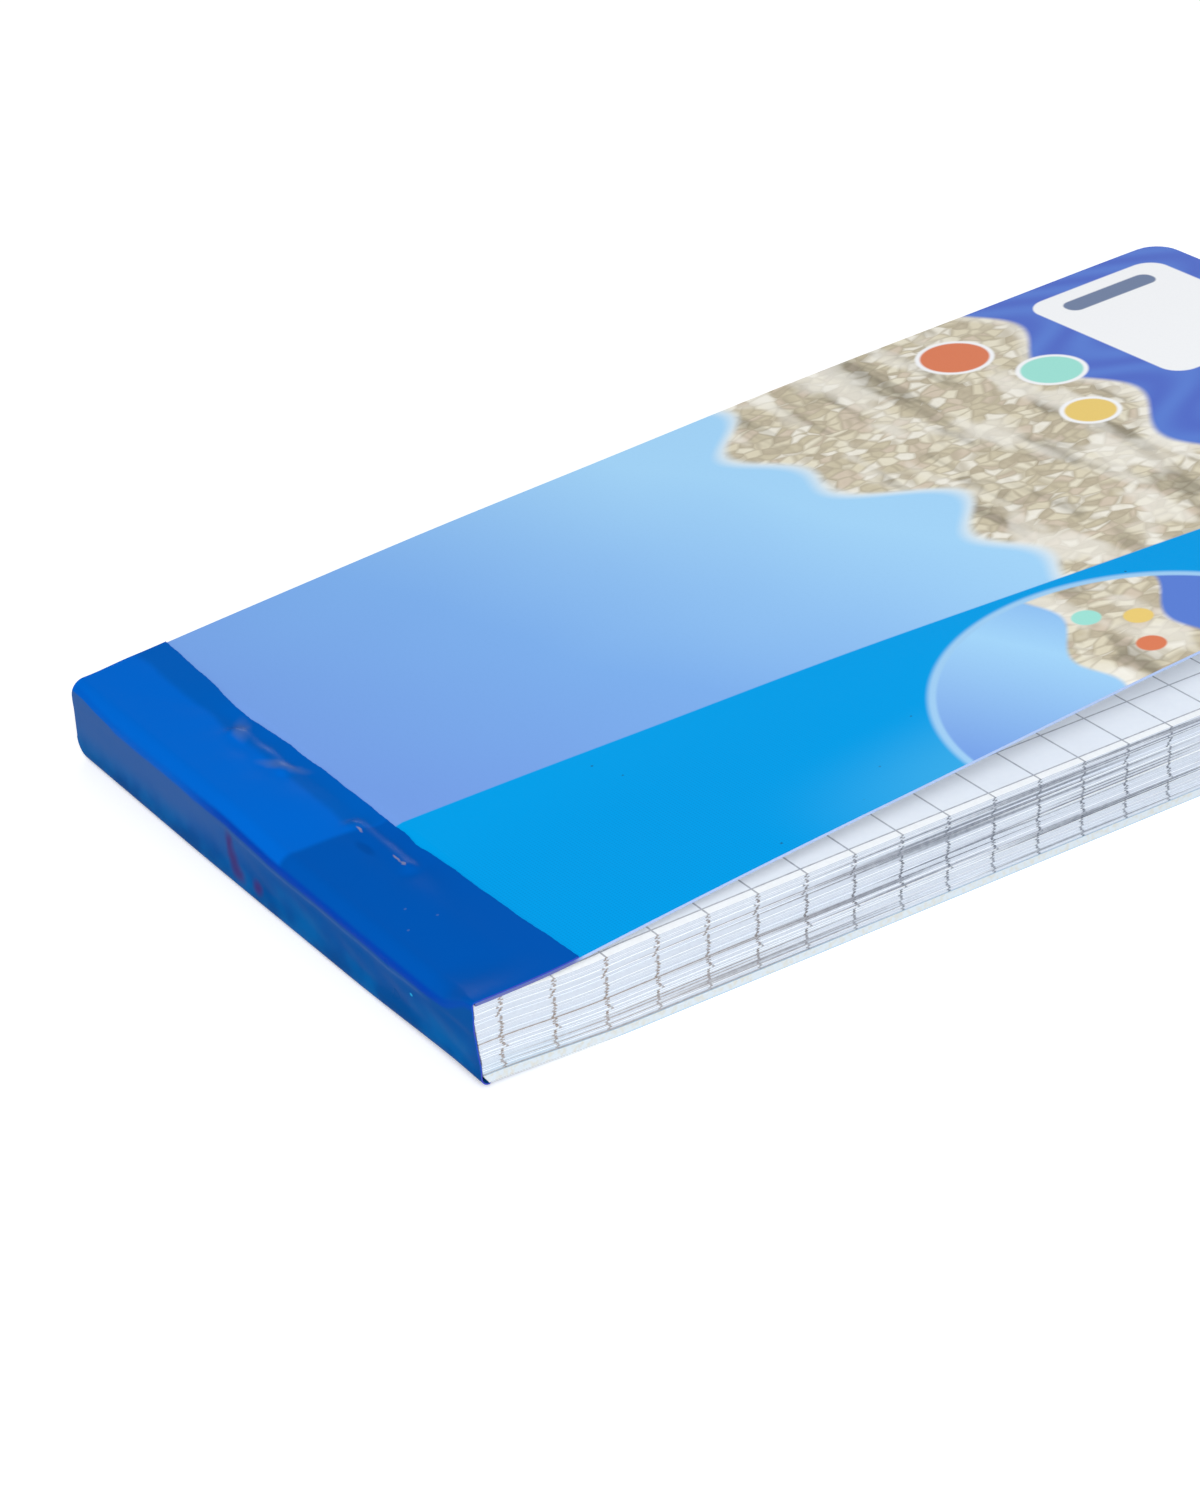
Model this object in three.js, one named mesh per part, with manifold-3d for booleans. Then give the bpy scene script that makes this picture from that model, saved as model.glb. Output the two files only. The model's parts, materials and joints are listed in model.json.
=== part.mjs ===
// Top-bound memo pad of squared paper, lying on its back with its cover lifted a little.
// Frame: millimetres, +Z up, +Y towards the bound head, +X towards the reader's right.
// The origin is the middle of the underside.
import * as THREE from "three";
import { mergeVertices } from "three/addons/utils/BufferGeometryUtils.js";
import Module from "manifold-3d";

const manifold = await Module();
manifold.setup();

// Pad
const PAD_WIDTH = 70;
const PAD_LENGTH = 134;
const SHEET_COUNT = 50;
const PAPER_THICKNESS = 0.1;
const AIR_AT_TAPE = 0.04;
const AIR_AT_FOOT = 0.05;
const BOARD_THICKNESS = 0.8;
const LYING_GAP = 0.02;

// Cover, which springs up from its crease along an arc
const COVER_THICKNESS = 0.28;
const COVER_CREASE_ANGLE = THREE.MathUtils.degToRad(6.4);
const COVER_FOOT_ANGLE = THREE.MathUtils.degToRad(2.2);
const COVER_FACETS = 12;

// Binding tape round the head
const TAPE_THICKNESS = 0.12;
const TAPE_BAND = 10;
const TAPE_GAP = 0.03;
const RIDGE_RADIUS = 1.5;
const HEEL_RADIUS = 0.9;
const ROUND_FACETS = 5;
const FLAP_LENGTH = 1.8;
const FLAP_RISE = 0.6;
const BOARD_STEP = TAPE_THICKNESS + TAPE_GAP;

// Hinge line of the cover and the leaves, along the tape's edge
const TURNING_GAP = 0.3;
const HINGE_ABOVE_TAPE = 0.2;

// Staples, a pair that sits a little off the middle
const STAPLE_CROWN = 9.5;
const STAPLE_SPACING = 21;
const STAPLE_OFFSET = 1.3;
const STAPLE_PAST_BEND = 0.9;
const WIRE_THICKNESS = 0.45;
const WIRE_WIDTH = 0.5;
const STAPLE_BEND = 0.6;
const CLINCH_LENGTH = 3.6;
const CROWN_PROUD = 0.25;
const STAPLE_GAP = 0.03;
const BUMP_SKIRT = 0.7;

// Places that follow from the sizes
const headY = PAD_LENGTH / 2;
const footY = -PAD_LENGTH / 2;
const tapeEdgeY = headY - TAPE_BAND;
const flapBendY = tapeEdgeY + FLAP_LENGTH;
const leafStartY = tapeEdgeY - TURNING_GAP;
const hingeY = (tapeEdgeY + leafStartY) / 2;
const leafLength = leafStartY - footY;
const leavesBottomZ = BOARD_THICKNESS + LYING_GAP;
const leavesTopZ = leavesBottomZ + SHEET_COUNT * (PAPER_THICKNESS + AIR_AT_TAPE) - AIR_AT_TAPE;
const coverBottomZ = leavesTopZ + LYING_GAP;
const coverTopZ = coverBottomZ + COVER_THICKNESS;
const tapeTopZ = coverTopZ + TAPE_GAP + TAPE_THICKNESS;
const hingeZ = tapeTopZ + FLAP_RISE + HINGE_ABOVE_TAPE;
const stapleY = flapBendY + STAPLE_PAST_BEND;
const crownTopZ = coverTopZ + CROWN_PROUD;
const clinchBottomZ = BOARD_STEP;

const finishes = {
  cover: { color: 0x2f9fe6, roughness: 0.22, metalness: 0 },
  paper: { color: 0xdce2f0, roughness: 0.85, metalness: 0 },
  board: { color: 0xd9e6ee, roughness: 0.8, metalness: 0 },
  tape: { color: 0x005ab8, roughness: 0.28, metalness: 0 },
  wire: { color: 0xc2c5ca, roughness: 0.35, metalness: 1 },
};

// A mesh as a solid that can be joined and cut
function solidOf(geometry) {
  const bare = geometry.index ? geometry.toNonIndexed() : geometry.clone();
  bare.deleteAttribute("normal");
  bare.deleteAttribute("uv");
  const merged = mergeVertices(bare);
  return new manifold.Manifold(
    new manifold.Mesh({
      numProp: 3,
      vertProperties: merged.attributes.position.array,
      triVerts: new Uint32Array(merged.index.array),
    }),
  );
}

// A cut or joined solid as a mesh again
function geometryOf(solid) {
  const mesh = solid.getMesh();
  const geometry = new THREE.BufferGeometry();
  geometry.setAttribute("position", new THREE.BufferAttribute(mesh.vertProperties, mesh.numProp));
  geometry.setIndex(new THREE.BufferAttribute(mesh.triVerts, 1));
  geometry.computeVertexNormals();
  return geometry;
}

// A closed outline of [y, z] points, drawn across the pad's width
function acrossPad(outline) {
  const shape = new THREE.Shape(outline.map(([y, z]) => new THREE.Vector2(y, z)));
  const geometry = new THREE.ExtrudeGeometry(shape, { depth: PAD_WIDTH, bevelEnabled: false });
  geometry.translate(0, 0, -PAD_WIDTH / 2);
  const axes = new THREE.Matrix4().makeBasis(
    new THREE.Vector3(0, 1, 0),
    new THREE.Vector3(0, 0, 1),
    new THREE.Vector3(1, 0, 0),
  );
  return geometry.applyMatrix4(axes);
}

// Points of an arc in the [y, z] plane, angles in quarter turns from +Y towards +Z
function arcPoints(centreY, centreZ, radius, fromQuarter, toQuarter) {
  const points = [];
  for (let step = 0; step <= ROUND_FACETS; step += 1) {
    const quarter = THREE.MathUtils.lerp(fromQuarter, toQuarter, step / ROUND_FACETS);
    const angle = (quarter * Math.PI) / 2;
    points.push([centreY + radius * Math.cos(angle), centreZ + radius * Math.sin(angle)]);
  }
  return points;
}

// The tape's path from its top edge, over the ridge and the head, to its edge under the back,
// at a depth below the tape's outer face
function tapePath(depth) {
  return [
    [tapeEdgeY, tapeTopZ + FLAP_RISE - depth],
    [flapBendY, tapeTopZ - depth],
    ...arcPoints(headY - RIDGE_RADIUS, tapeTopZ - RIDGE_RADIUS, RIDGE_RADIUS - depth, 1, 0),
    ...arcPoints(headY - HEEL_RADIUS, HEEL_RADIUS, HEEL_RADIUS - depth, 0, -1),
    [tapeEdgeY, depth],
  ];
}

// What the tape wraps, with the gap under the tape taken off
const wrapped = solidOf(acrossPad(tapePath(TAPE_THICKNESS + TAPE_GAP)));

// The outline of a staple seen from the head, grown by a gap all round, drawn along Y and
// centred on the staple's own middle. It is one bent wire: crown, two legs, two clinched points.
function stapleGeometry(gap) {
  const half = STAPLE_CROWN / 2 + gap;
  const innerHalf = STAPLE_CROWN / 2 - WIRE_THICKNESS - gap;
  const top = crownTopZ + gap;
  const underCrown = crownTopZ - WIRE_THICKNESS - gap;
  const bottom = clinchBottomZ - gap;
  const overClinch = clinchBottomZ + WIRE_THICKNESS + gap;
  const point = STAPLE_CROWN / 2 - CLINCH_LENGTH - gap;
  const bend = STAPLE_BEND;
  const shape = new THREE.Shape();
  shape.moveTo(-point, bottom);
  shape.lineTo(-point, overClinch);
  shape.lineTo(-innerHalf, overClinch);
  shape.lineTo(-innerHalf, underCrown);
  shape.lineTo(innerHalf, underCrown);
  shape.lineTo(innerHalf, overClinch);
  shape.lineTo(point, overClinch);
  shape.lineTo(point, bottom);
  shape.absarc(half - bend, bottom + bend, bend, -Math.PI / 2, 0, false);
  shape.absarc(half - bend, top - bend, bend, 0, Math.PI / 2, false);
  shape.absarc(-half + bend, top - bend, bend, Math.PI / 2, Math.PI, false);
  shape.absarc(-half + bend, bottom + bend, bend, Math.PI, Math.PI * 1.5, false);
  const depth = WIRE_WIDTH + 2 * gap;
  const geometry = new THREE.ExtrudeGeometry(shape, {
    depth,
    bevelEnabled: false,
    curveSegments: ROUND_FACETS,
  });
  geometry.translate(0, 0, -depth / 2);
  const axes = new THREE.Matrix4().makeBasis(
    new THREE.Vector3(1, 0, 0),
    new THREE.Vector3(0, 0, 1),
    new THREE.Vector3(0, -1, 0),
  );
  return geometry.applyMatrix4(axes);
}

const stapleCentres = [STAPLE_OFFSET - STAPLE_SPACING / 2, STAPLE_OFFSET + STAPLE_SPACING / 2];

// Takes both staples' slots out of a solid
function slotted(solid) {
  return stapleCentres.reduce((left, x) => {
    const slot = stapleGeometry(STAPLE_GAP).translate(x, stapleY, 0);
    return left.subtract(solidOf(slot));
  }, solid);
}

// A box whose top is drawn in by a skirt on all four sides
function skirtedBox(topLength, topWidth, skirt, bottomZ, topZ) {
  const geometry = new THREE.BoxGeometry(topLength, topWidth, topZ - bottomZ);
  geometry.translate(0, 0, (topZ + bottomZ) / 2);
  const position = geometry.getAttribute("position");
  for (let index = 0; index < position.count; index += 1) {
    if (position.getZ(index) < topZ) {
      position.setX(index, position.getX(index) + Math.sign(position.getX(index)) * skirt);
      position.setY(index, position.getY(index) + Math.sign(position.getY(index)) * skirt);
    }
  }
  return geometry;
}

// The tape, raised in a bump over each staple's crown
function bindingTape() {
  const band = solidOf(acrossPad([...tapePath(0), ...tapePath(TAPE_THICKNESS).reverse()]));
  const pocketLength = STAPLE_CROWN + 2 * TAPE_GAP;
  const pocketWidth = WIRE_WIDTH + 2 * TAPE_GAP;
  const pocketTopZ = crownTopZ + TAPE_GAP;
  const midTapeZ = tapeTopZ - TAPE_THICKNESS / 2;
  const bump = skirtedBox(
    pocketLength + 2 * TAPE_THICKNESS,
    pocketWidth + 2 * TAPE_THICKNESS,
    BUMP_SKIRT,
    midTapeZ,
    pocketTopZ + TAPE_THICKNESS,
  );
  const pocket = skirtedBox(pocketLength, pocketWidth, 0, coverTopZ, pocketTopZ);
  const raised = stapleCentres.reduce(
    (tape, x) => tape.add(solidOf(bump.clone().translate(x, stapleY, 0))),
    band,
  );
  const hollowed = stapleCentres.reduce(
    (tape, x) => tape.subtract(solidOf(pocket.clone().translate(x, stapleY, 0))),
    raised,
  );
  return geometryOf(hollowed);
}

// The cover's bound strip, which follows the tape's flap up to its edge
function coverStrip() {
  const slab = acrossPad([
    [tapeEdgeY, coverBottomZ + FLAP_RISE],
    [flapBendY, coverBottomZ],
    [headY, coverBottomZ],
    [headY, hingeZ],
    [tapeEdgeY, hingeZ],
  ]);
  return geometryOf(slotted(solidOf(slab).intersect(wrapped)));
}

// The sheets' bound strips, pressed into one block between the board and the cover
function boundBlock() {
  const slab = acrossPad([
    [tapeEdgeY, BOARD_STEP + leavesBottomZ],
    [headY, BOARD_STEP + leavesBottomZ],
    [headY, leavesTopZ],
    [tapeEdgeY, leavesTopZ],
  ]);
  return geometryOf(slotted(solidOf(slab).intersect(wrapped)));
}

// The backing board, which steps up by the tape's thickness where the tape wraps it
function backingBoard() {
  const plate = solidOf(
    acrossPad([
      [footY, 0],
      [leafStartY, 0],
      [tapeEdgeY, BOARD_STEP],
      [flapBendY, BOARD_STEP],
      [flapBendY, BOARD_STEP + BOARD_THICKNESS],
      [tapeEdgeY, BOARD_STEP + BOARD_THICKNESS],
      [leafStartY, BOARD_THICKNESS],
      [footY, BOARD_THICKNESS],
    ]),
  );
  const strip = solidOf(
    acrossPad([
      [tapeEdgeY, BOARD_STEP],
      [headY, BOARD_STEP],
      [headY, BOARD_STEP + BOARD_THICKNESS],
      [tapeEdgeY, BOARD_STEP + BOARD_THICKNESS],
    ]),
  );
  return geometryOf(slotted(plate.add(strip.intersect(wrapped))));
}

// The cover from its crease to its foot, an arc that flattens as it rises
function coverGeometry() {
  const lower = [];
  const upper = [];
  let y = leafStartY;
  let z = coverBottomZ + FLAP_RISE;
  const length = leafLength / COVER_FACETS;
  for (let step = 0; step <= COVER_FACETS; step += 1) {
    const angle = THREE.MathUtils.lerp(COVER_CREASE_ANGLE, COVER_FOOT_ANGLE, step / COVER_FACETS);
    lower.push([y, z]);
    upper.push([y + COVER_THICKNESS * Math.sin(angle), z + COVER_THICKNESS * Math.cos(angle)]);
    y -= length * Math.cos(angle);
    z += length * Math.sin(angle);
  }
  return acrossPad([...lower.reverse(), ...upper]);
}

// One leaf from its turning line to the foot, with a count of leaves under it. The air between
// the leaves grows towards the foot.
function leafGeometry(under) {
  const startZ = leavesBottomZ + under * (PAPER_THICKNESS + AIR_AT_TAPE);
  const endZ = leavesBottomZ + under * (PAPER_THICKNESS + AIR_AT_FOOT);
  return acrossPad([
    [footY, endZ],
    [leafStartY, startZ],
    [leafStartY, startZ + PAPER_THICKNESS],
    [footY, endZ + PAPER_THICKNESS],
  ]);
}

const pad = new THREE.Group();

// Everything that turns hangs on the hinge line
const turning = new THREE.Group();
turning.position.set(0, hingeY, hingeZ);
pad.add(turning);

function addPiece(name, finish, geometry) {
  const mesh = new THREE.Mesh(geometry, new THREE.MeshStandardMaterial(finish));
  mesh.name = name;
  pad.add(mesh);
  return mesh;
}

function addTurningPiece(name, finish, geometry) {
  const mesh = addPiece(name, finish, geometry.translate(0, -hingeY, -hingeZ));
  turning.add(mesh);
}

addPiece("backing_board", finishes.board, backingBoard());
addPiece("bound_block", finishes.paper, boundBlock());
addPiece("cover_strip", finishes.cover, coverStrip());
addPiece("binding_tape", finishes.tape, bindingTape());
addTurningPiece("front_cover", finishes.cover, coverGeometry());

["left", "right"].forEach((side, index) => {
  const staple = addPiece(`staple_${side}`, finishes.wire, stapleGeometry(0));
  staple.position.set(stapleCentres[index], stapleY, 0);
});

for (let number = 1; number <= SHEET_COUNT; number += 1) {
  const label = String(number).padStart(2, "0");
  addTurningPiece(`leaf_${label}`, finishes.paper, leafGeometry(SHEET_COUNT - number));
}

export default pad;
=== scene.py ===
import json
import logging
import math
from dataclasses import dataclass, field
from enum import Enum
from typing import Any, Optional, Union

import bpy
import numpy as np
from mathutils import Matrix, Vector

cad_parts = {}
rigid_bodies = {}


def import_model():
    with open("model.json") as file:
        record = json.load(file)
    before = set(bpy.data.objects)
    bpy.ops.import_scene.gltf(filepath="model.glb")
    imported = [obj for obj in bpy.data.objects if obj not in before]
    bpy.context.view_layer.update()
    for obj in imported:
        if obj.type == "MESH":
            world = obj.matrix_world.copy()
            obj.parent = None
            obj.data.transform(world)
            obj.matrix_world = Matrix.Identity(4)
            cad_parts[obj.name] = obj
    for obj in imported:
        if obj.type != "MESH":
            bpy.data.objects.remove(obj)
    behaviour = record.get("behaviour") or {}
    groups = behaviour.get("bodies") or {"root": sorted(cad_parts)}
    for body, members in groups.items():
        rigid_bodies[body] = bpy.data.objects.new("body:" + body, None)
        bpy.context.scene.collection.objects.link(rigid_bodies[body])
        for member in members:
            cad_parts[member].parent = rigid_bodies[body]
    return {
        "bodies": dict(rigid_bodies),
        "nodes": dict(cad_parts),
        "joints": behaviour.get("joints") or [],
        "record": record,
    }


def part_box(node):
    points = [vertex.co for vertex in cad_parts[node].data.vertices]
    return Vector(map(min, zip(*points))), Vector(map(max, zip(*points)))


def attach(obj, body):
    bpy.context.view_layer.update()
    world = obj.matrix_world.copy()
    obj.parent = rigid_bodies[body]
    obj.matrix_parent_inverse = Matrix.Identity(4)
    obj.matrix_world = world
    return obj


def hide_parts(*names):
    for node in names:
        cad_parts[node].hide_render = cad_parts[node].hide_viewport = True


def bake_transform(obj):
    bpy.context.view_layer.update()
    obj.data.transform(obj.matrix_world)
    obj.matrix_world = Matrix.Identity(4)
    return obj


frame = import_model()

MM = 0.001
SEED = 28
PRINT_MAP = "print"
WRAP_MAP = "wrap"
TONE = "tone"
# The rows in a round corner, as shares of its radius from the foot's edge.
CORNER_ROWS = np.array([0.0, 0.04, 0.16, 0.36, 0.64, 1.0])

log = logging.getLogger("memo_pad")
Colour = tuple[float, float, float]
Number = Union[int, float]
# Where a rise starts and where it ends. It runs down where the start is the larger.
Span = tuple[float, float]
# The height, rate and start of a wave.
Ripple = tuple[float, float, float]
WHITE: Colour = (1.0, 1.0, 1.0)


def rgb(red: int, green: int, blue: int) -> Colour:
    """Turns a colour of 0 to 255 as it shows on a screen into the linear one a shader takes.

    Args:
        red: Red as shown.
        green: Green as shown.
        blue: Blue as shown.

    Returns:
        The linear colour.
    """
    shown = np.array([red, green, blue]) / 255
    linear = np.where(shown <= 0.04045, shown / 12.92, ((shown + 0.055) / 1.055) ** 2.4)
    return tuple(float(part) for part in linear)


def eased(low: float, high: float, value: np.ndarray) -> np.ndarray:
    """A rise from 0 at low to 1 at high, level at both ends: 3t² − 2t³, t the share of the way."""
    share = np.clip((value - low) / (high - low), 0, 1)
    return share * share * (3 - 2 * share)


def bell(centre: float, spread: float, value: np.ndarray) -> np.ndarray:
    """A bell round a centre: e to the power of minus the square of the distance over the spread."""
    return np.exp(-(((value - centre) / spread) ** 2))


def ripples(kinds: tuple[Ripple, ...], place: np.ndarray) -> np.ndarray:
    """The sum of waves, each a height times the sine of a rate times the place, plus a start."""
    return sum(height * np.sin(place * rate + start) for height, rate, start in kinds)


def round_loss(past: np.ndarray, radius: Union[float, np.ndarray]) -> np.ndarray:
    """What a round corner takes off: the radius less the root of its square less the way in squared."""
    into = np.clip(past, 0, radius)
    return radius - np.sqrt(radius**2 - into**2)


def close_at_ends(count: int) -> np.ndarray:
    """Places from -1 to 1, closer at both ends: the sine of even steps of angle."""
    return np.sin(np.linspace(-1, 1, count) * math.pi / 2)


def shares_from(count: int) -> np.ndarray:
    """A column of even shares from 0 up to the step before 1."""
    return np.linspace(0, 1, count, endpoint=False)[:, None]


def shares_to(count: int) -> np.ndarray:
    """A column of even shares from the first step after 0 up to 1."""
    return (np.arange(1, count + 1) / count)[:, None]


def running(steps: np.ndarray) -> np.ndarray:
    """The running sum of steps, from 0."""
    return np.concatenate([[0], np.cumsum(steps)])


def as_points(x: np.ndarray, y: np.ndarray, z: np.ndarray) -> np.ndarray:
    """A grid of points from the grids, rows or columns of their parts."""
    return np.stack(np.broadcast_arrays(x, y, z), axis=-1)


def numbered(grid: np.ndarray) -> np.ndarray:
    """The number of each point of a grid of points, row by row."""
    rows, columns = grid.shape[:2]
    return np.arange(rows * columns).reshape(rows, columns)


def linked(name: str, data: bpy.types.ID) -> bpy.types.Object:
    """A new object of the scene, at the origin.

    Args:
        name: Its name.
        data: Its mesh, lamp or camera.

    Returns:
        The object.
    """
    made = bpy.data.objects.new(name, data)
    bpy.context.scene.collection.objects.link(made)
    return made


def smooth_mesh(
    name: str,
    points: np.ndarray,
    faces: list[list[int]],
    smooth_to: float,
    materials: tuple[bpy.types.Material, ...],
) -> bpy.types.Mesh:
    """A mesh that is shaded smooth over all but its sharp edges.

    Args:
        name: Its name.
        points: Its points in millimetres, in rows of three.
        faces: The point numbers of each face.
        smooth_to: The angle in degrees past which an edge is sharp.
        materials: Its materials.

    Returns:
        The mesh.
    """
    mesh = bpy.data.meshes.new(name)
    mesh.from_pydata((points * MM).tolist(), [], faces)
    mesh.polygons.foreach_set("use_smooth", np.ones(len(faces), dtype=bool))
    mesh.set_sharp_from_angle(angle=math.radians(smooth_to))
    for material in materials:
        mesh.materials.append(material)
    return mesh


def box_mm(node: str) -> tuple[np.ndarray, np.ndarray]:
    """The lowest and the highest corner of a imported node, in millimetres."""
    low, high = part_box(node)
    return np.array(low) / MM, np.array(high) / MM


class Face(Enum):
    """The sides of a closed slab that can wear a material of their own."""

    OUTER = 0
    INNER = 1
    RIM = 2


@dataclass(frozen=True)
class StaplePlace:
    """Where one staple sits, in millimetres."""

    name: str
    centre_x: float
    centre_y: float
    half_crown: float
    half_width: float
    bottom_z: float
    top_z: float


@dataclass(frozen=True)
class Places:
    """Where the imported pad's pieces are, in millimetres."""

    half_width: float
    head_y: float
    foot_y: float
    tape_edge_y: float
    leaf_start_y: float
    board_top_z: float
    block_bottom_z: float
    block_top_z: float
    crease_bottom_z: float
    cover_bottom_z: float
    hinge: tuple[float, float]
    leaf_low_z: tuple[float, ...]
    leaf_high_z: tuple[float, ...]
    staples: tuple[StaplePlace, ...]

    @classmethod
    def read(cls, packed: dict[str, Any]) -> "Places":
        """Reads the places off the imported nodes' boxes and the cover's joint.


        Returns:
            The places.
        """
        board_low, board_high = box_mm("backing_board")
        tape_low, tape_high = box_mm("binding_tape")
        block_low, block_high = box_mm("bound_block")
        cover_low, cover_high = box_mm("front_cover")
        strip_low, _ = box_mm("cover_strip")
        leaves = [box_mm(name) for name in sorted(packed["nodes"]) if name.startswith("leaf_")]
        turn = next(joint for joint in packed["joints"] if joint["name"] == "cover_turn")
        staples = []
        for side in ("left", "right"):
            low, high = box_mm(f"staple_{side}")
            middle = (low + high) / 2
            half = (high - low) / 2
            staples.append(StaplePlace(side, middle[0], middle[1], half[0], half[1], low[2], high[2]))
        return cls(
            half_width=board_high[0],
            head_y=tape_high[1],
            foot_y=board_low[1],
            tape_edge_y=tape_low[1],
            leaf_start_y=leaves[0][1][1],
            board_top_z=leaves[-1][0][2] - Layers.lying_gap,
            block_bottom_z=block_low[2],
            block_top_z=block_high[2],
            crease_bottom_z=cover_low[2],
            cover_bottom_z=strip_low[2],
            hinge=(turn["pos_m"][1] / MM, turn["pos_m"][2] / MM),
            leaf_low_z=tuple(low[2] for low, _ in leaves),
            leaf_high_z=tuple(high[2] for _, high in leaves),
            staples=tuple(staples),
        )


@dataclass(frozen=True)
class Layers:
    """How thick each layer is and the clearances between them, in millimetres."""

    paper: float = 0.1
    cover: float = 0.28
    tape: float = 0.12
    tape_gap: float = 0.03
    lying_gap: float = 0.02


LAYERS = Layers()


@dataclass(frozen=True)
class Slab:
    """A closed solid between two grids of points, rows by columns by x, y, z, in millimetres.

    The outer grid's rows run towards the head and its columns towards +X, so that it faces up
    where it lies flat. A shape of one sheet is these two grids joined round their rim.
    """

    name: str
    outer: np.ndarray
    inner: np.ndarray
    maps: dict[str, np.ndarray] = field(default_factory=dict)
    smooth_to: float = 35.0

    def rim(self) -> np.ndarray:
        """The outer grid's border as a ring of point numbers, anticlockwise seen from outside."""
        number = numbered(self.outer)
        return np.concatenate(
            [number[0, :-1], number[:-1, -1], number[-1, :0:-1], number[:0:-1, 0]]
        )

    def faces(self) -> tuple[np.ndarray, np.ndarray]:
        """The corner numbers of each four-sided face, and which side of the slab it is on."""
        number = numbered(self.outer)
        upper = np.stack(
            [number[:-1, :-1], number[:-1, 1:], number[1:, 1:], number[1:, :-1]], axis=-1
        ).reshape(-1, 4)
        lower = upper[:, ::-1] + number.size
        ring = self.rim()
        following = np.roll(ring, -1)
        wall = np.stack([ring + number.size, following + number.size, following, ring], axis=-1)
        side = np.repeat(
            [Face.OUTER.value, Face.INNER.value, Face.RIM.value], [len(upper), len(lower), len(wall)]
        )
        return np.concatenate([upper, lower, wall]), side

    def build(self, materials: tuple[bpy.types.Material, ...]) -> bpy.types.Object:
        """Makes the mesh, its maps and its materials.

        Args:
            materials: One material for all, or one for each Face in order.

        Returns:
            The new object, linked to the scene at the origin.
        """
        points = np.concatenate([self.outer.reshape(-1, 3), self.inner.reshape(-1, 3)])
        corners, side = self.faces()
        mesh = smooth_mesh(self.name, points, corners.tolist(), self.smooth_to, materials)
        for name, grid in self.maps.items():
            both = np.concatenate([grid.reshape(-1, 2), grid.reshape(-1, 2)])
            layer = mesh.uv_layers.new(name=name)
            layer.data.foreach_set("uv", both[corners.ravel()].astype(np.float32).ravel())
        if len(materials) > 1:
            mesh.polygons.foreach_set("material_index", side)
        mesh.update()
        return linked(self.name, mesh)


class Value:
    """A socket in a node tree, with arithmetic that adds Math nodes."""

    def __init__(self, tree: "Tree", socket: bpy.types.NodeSocket) -> None:
        """Wraps an output socket of a tree."""
        self.tree = tree
        self.socket = socket

    def __add__(self, other: "Term") -> "Value":
        """The sum."""
        return self.tree.math("ADD", self, other)

    __radd__ = __add__

    def __sub__(self, other: "Term") -> "Value":
        """The difference."""
        return self.tree.math("SUBTRACT", self, other)

    def __rsub__(self, other: "Term") -> "Value":
        """The difference, this value taken from the other."""
        return self.tree.math("SUBTRACT", other, self)

    def __mul__(self, other: "Term") -> "Value":
        """The product."""
        return self.tree.math("MULTIPLY", self, other)

    __rmul__ = __mul__

    def __truediv__(self, other: "Term") -> "Value":
        """The quotient."""
        return self.tree.math("DIVIDE", self, other)

    def sine(self) -> "Value":
        """The sine of the value in radians."""
        return self.tree.math("SINE", self)

    def size(self) -> "Value":
        """The value without its sign."""
        return self.tree.math("ABSOLUTE", self)

    def power(self, exponent: float) -> "Value":
        """The value to a power."""
        return self.tree.math("POWER", self, exponent)

    def least(self, other: "Term") -> "Value":
        """The smaller of the two."""
        return self.tree.math("MINIMUM", self, other)

    def most(self, other: "Term") -> "Value":
        """The larger of the two."""
        return self.tree.math("MAXIMUM", self, other)

    def rise(self, low: float, high: float) -> "Value":
        """A rise from 0 at low to 1 at high, level at both ends. It runs down where low is more."""
        start, end, first, last = (low, high, 0.0, 1.0) if low < high else (high, low, 1.0, 0.0)
        node = self.tree.node(
            "ShaderNodeMapRange",
            {"interpolation_type": "SMOOTHSTEP"},
            {"Value": self, "From Min": start, "From Max": end, "To Min": first, "To Max": last},
        )
        return Value(self.tree, node.outputs["Result"])

    def to_line(self, pitch: float) -> "Value":
        """The distance to the nearest whole multiple of a pitch."""
        return self.tree.math("PINGPONG", self, pitch / 2)


Term = Union[Value, Number, Colour]


def length(one: Value, other: Value) -> Value:
    """The length of two parts: the root of the sum of their squares."""
    return (one * one + other * other).power(0.5)


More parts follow.
